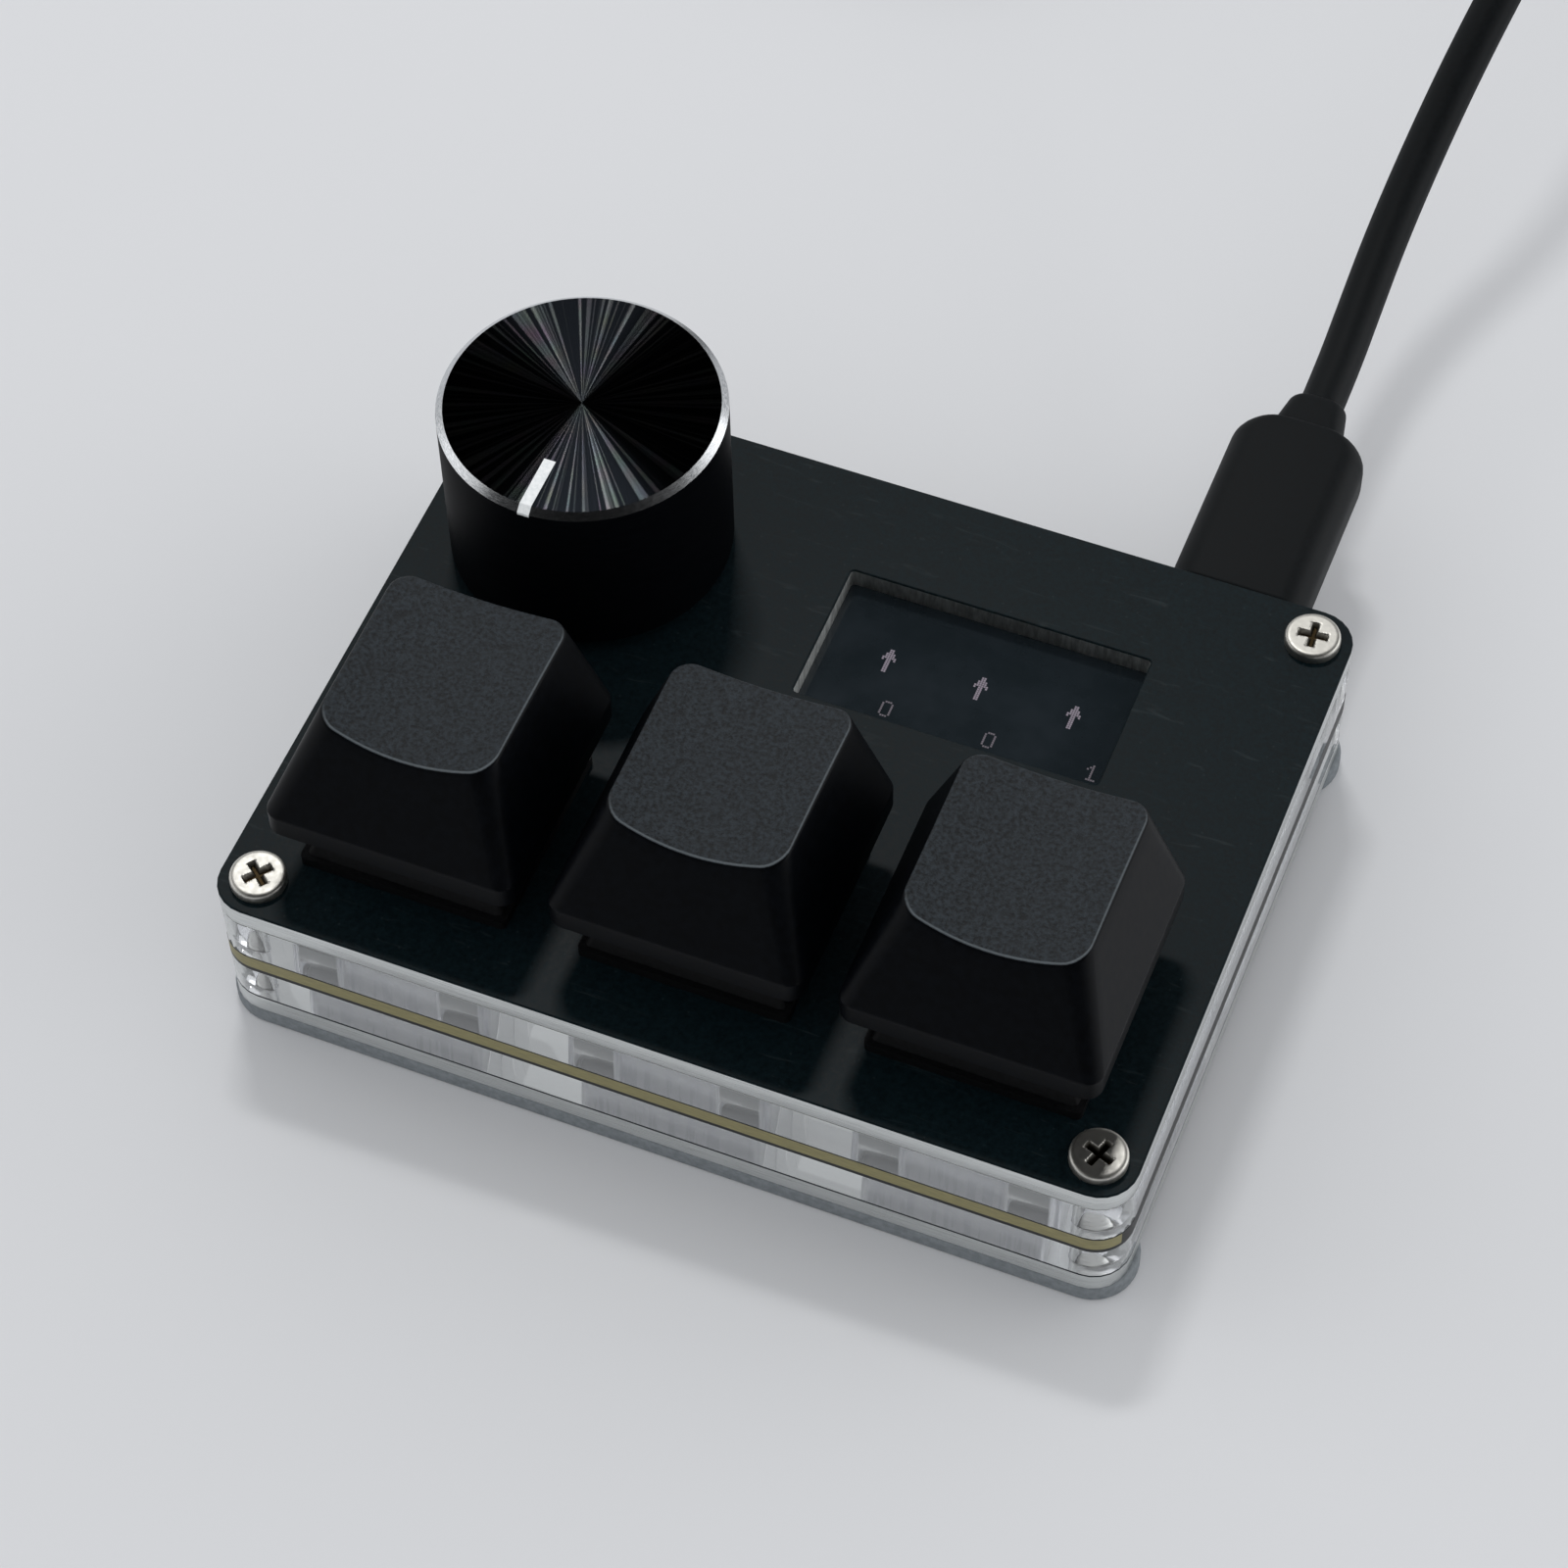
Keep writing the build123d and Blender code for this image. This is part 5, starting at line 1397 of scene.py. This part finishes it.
def round_fall(edge, into):
    """How far a rounding of radius edge has fallen at a depth into it: edge less the root of edge^2 - into^2."""
    return edge - np.sqrt(np.maximum(edge**2 - np.clip(into, 0, edge) ** 2, 0))


def place_rubber(name, node, stations, widths, heights, rounding):
    """A rubber grip in a node's place, on the cable's body.

    A rounded-rectangle section is carried along the depth, with its own width and height at each station.
    """
    low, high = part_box(node)
    centre = ((low.x + high.x) / 2, (low.z + high.z) / 2)
    rings = []
    for y, width, height in zip(stations, widths, heights):
        radius = min(rounding, width / 2 * 0.96, height / 2 * 0.96)
        plan, _ = rounded_loop(centre, width, height, radius, steps=7)
        rings.append(np.stack([plan[:, 0], np.full(len(plan), y), plan[:, 1]], axis=1))
    return place_piece(name, *skin(np.array(rings)), "base", ["cable_rubber"], [node])


class KEYPAD_OT_make_lead(bpy.types.Operator):
    """Makes the cable with its coil, plugs, strain reliefs and tie"""

    bl_idname = "keypad.make_lead"
    bl_label = "Lead"

    def execute(self, context):
        lead = context.scene.keypad_lead
        coil_left = CABLE_LINE_X - 2 * coil_outer_radius(lead)
        points = np.concatenate([lead_route(), coil_route(lead), tail_route((coil_left, COIL_MIDDLE_Y))])
        cable = self.make_cable(lead, points)
        grip = self.make_grip()
        collar = self.make_collar()
        tie = self.make_tie()
        far_grip = self.make_far_grip()
        return {"FINISHED"}

    def make_cable(self, lead, points):
        """A round jacket along one smooth spline."""
        line = bpy.data.curves.new("cable_jacket", "CURVE")
        line.dimensions = "3D"
        spline = line.splines.new("NURBS")
        spline.points.add(len(points) - 1)
        spline.points.foreach_set("co", np.column_stack([points, np.ones(len(points))]).ravel())
        spline.order_u = 3
        spline.use_endpoint_u = True
        spline.resolution_u = 6
        line.bevel_depth = lead.cable_diameter / 2
        line.bevel_resolution = 5
        line.use_fill_caps = True
        line.materials.append(finish_of("cable_rubber"))
        cable = bpy.data.objects.new("cable_jacket", line)
        bpy.context.scene.collection.objects.link(cable)
        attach(cable, "base")
        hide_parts("cable_tube", "cable_coil", "cable_tail")
        return cable

    def make_grip(self):
        """The plug's grip: its plan is square at the front and rounded at the rear corners."""
        low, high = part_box("plug_overmould")
        size = high - low
        corner = 2.2 * MM
        edge = 0.35 * MM
        turn = np.linspace(0, math.pi / 2, 9)
        front = low.y + edge * (1 - np.cos(turn[::2]))
        rear = high.y - corner + corner * np.sin(turn)
        stations = np.concatenate([front, np.linspace(low.y + edge, high.y - corner, 4)[1:], rear[1:-1]])
        stations = np.append(stations, high.y - CENTRAL_POINT)
        front_edge = round_fall(edge, low.y + edge - stations)
        rear_edge = round_fall(edge, stations - (high.y - edge))
        widths = size.x - 2 * round_fall(corner, stations - (high.y - corner)) - 2 * front_edge
        heights = size.z - 2 * front_edge - 2 * rear_edge
        return place_rubber("plug_grip", "plug_overmould", stations, widths, heights, rounding=2.0 * MM)

    def make_collar(self):
        """The strain relief, tapering from the grip to the cable, with its rear corners rounded."""
        low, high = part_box("plug_collar")
        size = high - low
        edge = 0.7 * MM
        turn = np.linspace(0, math.pi / 2, 7)
        stations = np.concatenate([np.linspace(low.y, high.y - edge, 4), high.y - edge + edge * np.sin(turn[1:])])
        share = (stations - low.y) / size.y
        narrowing = round_fall(edge, stations - (high.y - edge))
        # It narrows by 1.2 mm across and 0.4 mm in height on its way, and more in its last rounding.
        widths = size.x - 1.2 * MM * share - 1.2 * narrowing
        heights = size.z - 0.4 * MM * share - narrowing
        return place_rubber("plug_strain_relief", "plug_collar", stations, widths, heights, rounding=1.2 * MM)

    def make_tie(self):
        """A strap round the coil: a thin rounded section carried round a rounded rectangle."""
        low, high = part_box("coil_tie")
        size = high - low
        corner = 1.4 * MM
        thickness = 0.45 * MM
        loop, outward = rounded_loop(((low.y + high.y) / 2, (low.z + high.z) / 2), size.y, size.z, corner)
        half = size.x / 2
        near = half * 0.95
        # Each point's place across the strap, and its depth as a share of the thickness.
        section = [(-half, 0.1), (-half, 0.9), (-near, 1), (near, 1), (half, 0.9), (half, 0.1), (near, 0), (-near, 0)]
        section = np.array(section)
        inset = thickness * section[:, 1]
        x = np.broadcast_to((low.x + high.x) / 2 + section[:, 0], (len(loop), len(section)))
        y = loop[:, :1] - inset * outward[:, :1]
        z = loop[:, 1:] - inset * outward[:, 1:]
        points = np.stack([x, y, z], axis=2).reshape(-1, 3)
        faces = grid_faces(len(loop) + 1, len(section))[:, ::-1] % len(points)
        return place_piece("coil_strap", points, faces.tolist(), "base", ["black_strap"], ["coil_tie"])

    def make_far_grip(self):
        """The far plug's flat grip with a ringed, tapered relief towards the cable."""
        low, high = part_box("far_plug_overmould")
        size = high - low
        relief = 6.0 * MM
        rear = high.y - relief
        edge = 0.8 * MM
        turn = np.linspace(0, math.pi / 2, 5)
        stations = np.concatenate([low.y + edge * (1 - np.cos(turn)), rear - edge + edge * np.sin(turn)])
        inner = np.concatenate([edge * (1 - np.sin(turn)), edge * (1 - np.cos(turn))])
        # The relief narrows from 5.6 to 4 mm, and four grooves round it take off 0.5 mm more.
        along = np.linspace(0, 1, 25)
        grooves = 0.25 * MM * (np.cos(along * 2 * math.pi * 4) - 1)
        relief_size = (5.6 - 1.6 * along) * MM + grooves
        stations = np.concatenate([stations, rear + along * relief])
        widths = np.concatenate([size.x - 2 * inner, relief_size])
        heights = np.concatenate([size.z - 2 * inner, relief_size])
        return place_rubber("far_plug_grip", "far_plug_overmould", stations, widths, heights, rounding=2.6 * MM)


# ---------------------------------------------------------------- camera, table and lights
def facing(place, ahead, across):
    """Where something stands that looks ahead, with its own X as near to across as looking ahead allows."""
    ahead = Vector(ahead).normalized()
    upright = Vector(across).cross(ahead).normalized()
    across = ahead.cross(upright)
    turned = Matrix((across, upright, -ahead)).transposed().to_4x4()
    return Matrix.Translation(Vector(place)) @ turned


def level_right(stage):
    """The direction that runs level to the right of the view."""
    return Vector((math.cos(stage.camera_azimuth), math.sin(stage.camera_azimuth), 0))


class KEYPAD_OT_make_camera(bpy.types.Operator):
    """Makes the camera"""

    bl_idname = "keypad.make_camera"
    bl_label = "Camera"

    def execute(self, context):
        stage = context.scene.keypad_stage
        turn = stage.camera_azimuth
        drop = stage.camera_elevation
        ahead = Vector((-math.sin(turn) * math.cos(drop), math.cos(turn) * math.cos(drop), -math.sin(drop)))
        right = level_right(stage)
        lean = stage.camera_roll
        across = math.cos(lean) * right + math.sin(lean) * right.cross(ahead)
        data = bpy.data.cameras.new("keypad_camera")
        data.lens = stage.lens
        data.sensor_width = 36.0
        data.clip_start = 0.01
        camera = bpy.data.objects.new("keypad_camera", data)
        camera.matrix_world = facing(stage.camera_place, ahead, across)
        context.scene.collection.objects.link(camera)
        context.scene.camera = camera
        return {"FINISHED"}


# Each light: its name, its place, the direction its width runs in (none: level across the view), its size in
# metres and its power in watts.
LIGHTS = (
    ("ceiling_strip", (-0.275, 0.499, 1.03), None, (0.2, 0.08), 2.9),
    ("right_wall", (1.5, 0.75, 0.5), (-0.5, 1.0, 0.0), (1.8, 0.9), 7.5),
    ("left_wall", (-1.5, -0.2, 0.8), (0.1, -1.0, 0.0), (1.4, 0.9), 3.0),
)
# Half the table's side, in metres.
TABLE_HALF = 2.5


class KEYPAD_OT_make_stage(bpy.types.Operator):
    """Makes the table top, the soft lights and the world"""

    bl_idname = "keypad.make_stage"
    bl_label = "Stage"

    def execute(self, context):
        scene = context.scene
        scene.view_settings.view_transform = "Standard"
        stage = scene.keypad_stage
        self.make_table(stage)
        for name, place, across, size, power in LIGHTS:
            self.add_light(name, place, across or level_right(stage), size, power)
        self.make_world(scene, stage)
        return {"FINISHED"}

    def make_table(self, stage):
        """A wide flat table top in a plain pale colour."""
        mesh = bpy.data.meshes.new("table_top")
        corners = [(x * TABLE_HALF, y * TABLE_HALF, 0) for x, y in ((-1, -1), (1, -1), (1, 1), (-1, 1))]
        mesh.from_pydata(corners, [], [(0, 1, 2, 3)])
        finish, tree, shader = start_finish("painted_table")
        noise = add_node(tree, "ShaderNodeTexNoise", {"Vector": object_place(tree), "Scale": 6.0}).outputs[0]
        surface = mixed(tree, noise, stage.table_colour, times(stage.table_colour, 0.97))
        feed(tree, shader, {"Base Color": surface, "Roughness": 0.8, "Specular IOR Level": 0.1})
        mesh.materials.append(finish)
        table = bpy.data.objects.new("table_top", mesh)
        bpy.context.scene.collection.objects.link(table)

    def add_light(self, name, place, across, size, power):
        """A flat soft light at a place, facing the keypad, with its width along across."""
        data = bpy.data.lights.new(name, "AREA")
        data.shape = "RECTANGLE"
        data.size, data.size_y = size
        data.energy = power
        light = bpy.data.objects.new(name, data)
        light.matrix_world = facing(place, -Vector(place), across)
        bpy.context.scene.collection.objects.link(light)

    def make_world(self, scene, stage):
        """A pale room, which lights softly.

        In what shines it is pale low down, and dark overhead and where the viewer stands.
        """
        world = bpy.data.worlds.new("pale_room")
        world.use_nodes = True
        tree = world.node_tree
        tree.nodes.clear()
        path = add_node(tree, "ShaderNodeLightPath").outputs
        seen = worked_out(tree, "MAXIMUM", path["Is Camera Ray"], path["Is Transmission Ray"])
        way = add_node(tree, "ShaderNodeTexCoord").outputs["Generated"]
        height = add_node(tree, "ShaderNodeSeparateXYZ", {0: way}).outputs["Z"]
        low = remapped(tree, height, (0.34, 0.54), (0.85, 0.02))
        to_viewer = level_right(stage).cross(Vector((0, 0, 1)))
        ahead = add_node(tree, "ShaderNodeVectorMath", {0: way, 1: to_viewer}, operation="DOT_PRODUCT")
        aside = remapped(tree, ahead.outputs["Value"], (0.45, 0.75), (1.0, 0.08))
        mirrored = worked_out(tree, "MULTIPLY", low, aside)
        given = add_node(tree, "ShaderNodeMix", {0: path["Is Glossy Ray"], 2: 1.0, 3: mirrored}).outputs[0]
        strength = add_node(tree, "ShaderNodeMix", {0: seen, 2: given, 3: 1.0}).outputs[0]
        room = add_node(tree, "ShaderNodeBackground", {"Color": opaque(stage.table_colour), "Strength": strength})
        add_node(tree, "ShaderNodeOutputWorld", {"Surface": room.outputs[0]})
        # Rays find the room by themselves, so that what shines sees the room meant for it.
        if hasattr(world, "cycles"):
            world.cycles.sampling_method = "NONE"
        scene.world = world


STEPS = (
    KEYPAD_OT_make_camera,
    KEYPAD_OT_make_lead,
    KEYPAD_OT_make_plates,
    KEYPAD_OT_make_spacers,
    KEYPAD_OT_make_feet,
    KEYPAD_OT_make_screws,
    KEYPAD_OT_finish_inner_parts,
    KEYPAD_OT_make_springs,
    KEYPAD_OT_make_keycaps,
    KEYPAD_OT_make_knob,
    KEYPAD_OT_make_display,
    KEYPAD_OT_make_stage,
)


class KEYPAD_PT_panel(bpy.types.Panel):
    """The keypad's steps, in the order they are made"""

    bl_idname = "KEYPAD_PT_panel"
    bl_label = "Keypad"
    bl_space_type = "VIEW_3D"
    bl_region_type = "UI"
    bl_category = "Keypad"

    def draw(self, context):
        for step in STEPS:
            self.layout.operator(step.bl_idname)
        for name, group in SETTINGS.items():
            box = self.layout.box()
            box.label(text=group.__doc__)
            for setting in group.__annotations__:
                box.prop(getattr(context.scene, name), setting)


def register():
    """Registers the settings, the steps and the panel."""
    for name, group in SETTINGS.items():
        bpy.utils.register_class(group)
        setattr(bpy.types.Scene, name, PointerProperty(type=group))
    for step in STEPS:
        bpy.utils.register_class(step)
    bpy.utils.register_class(KEYPAD_PT_panel)


def unregister():
    """Takes them out again."""
    bpy.utils.unregister_class(KEYPAD_PT_panel)
    for step in reversed(STEPS):
        bpy.utils.unregister_class(step)
    for name, group in SETTINGS.items():
        delattr(bpy.types.Scene, name)
        bpy.utils.unregister_class(group)


def main():
    """Makes every piece in order."""
    register()
    bpy.ops.keypad.make_camera()
    bpy.ops.keypad.make_lead()
    bpy.ops.keypad.make_plates()
    bpy.ops.keypad.make_spacers()
    bpy.ops.keypad.make_feet()
    bpy.ops.keypad.make_screws()
    bpy.ops.keypad.finish_inner_parts()
    bpy.ops.keypad.make_springs()
    bpy.ops.keypad.make_keycaps()
    bpy.ops.keypad.make_knob()
    bpy.ops.keypad.make_display()
    bpy.ops.keypad.make_stage()


if __name__ == "__main__":
    main()
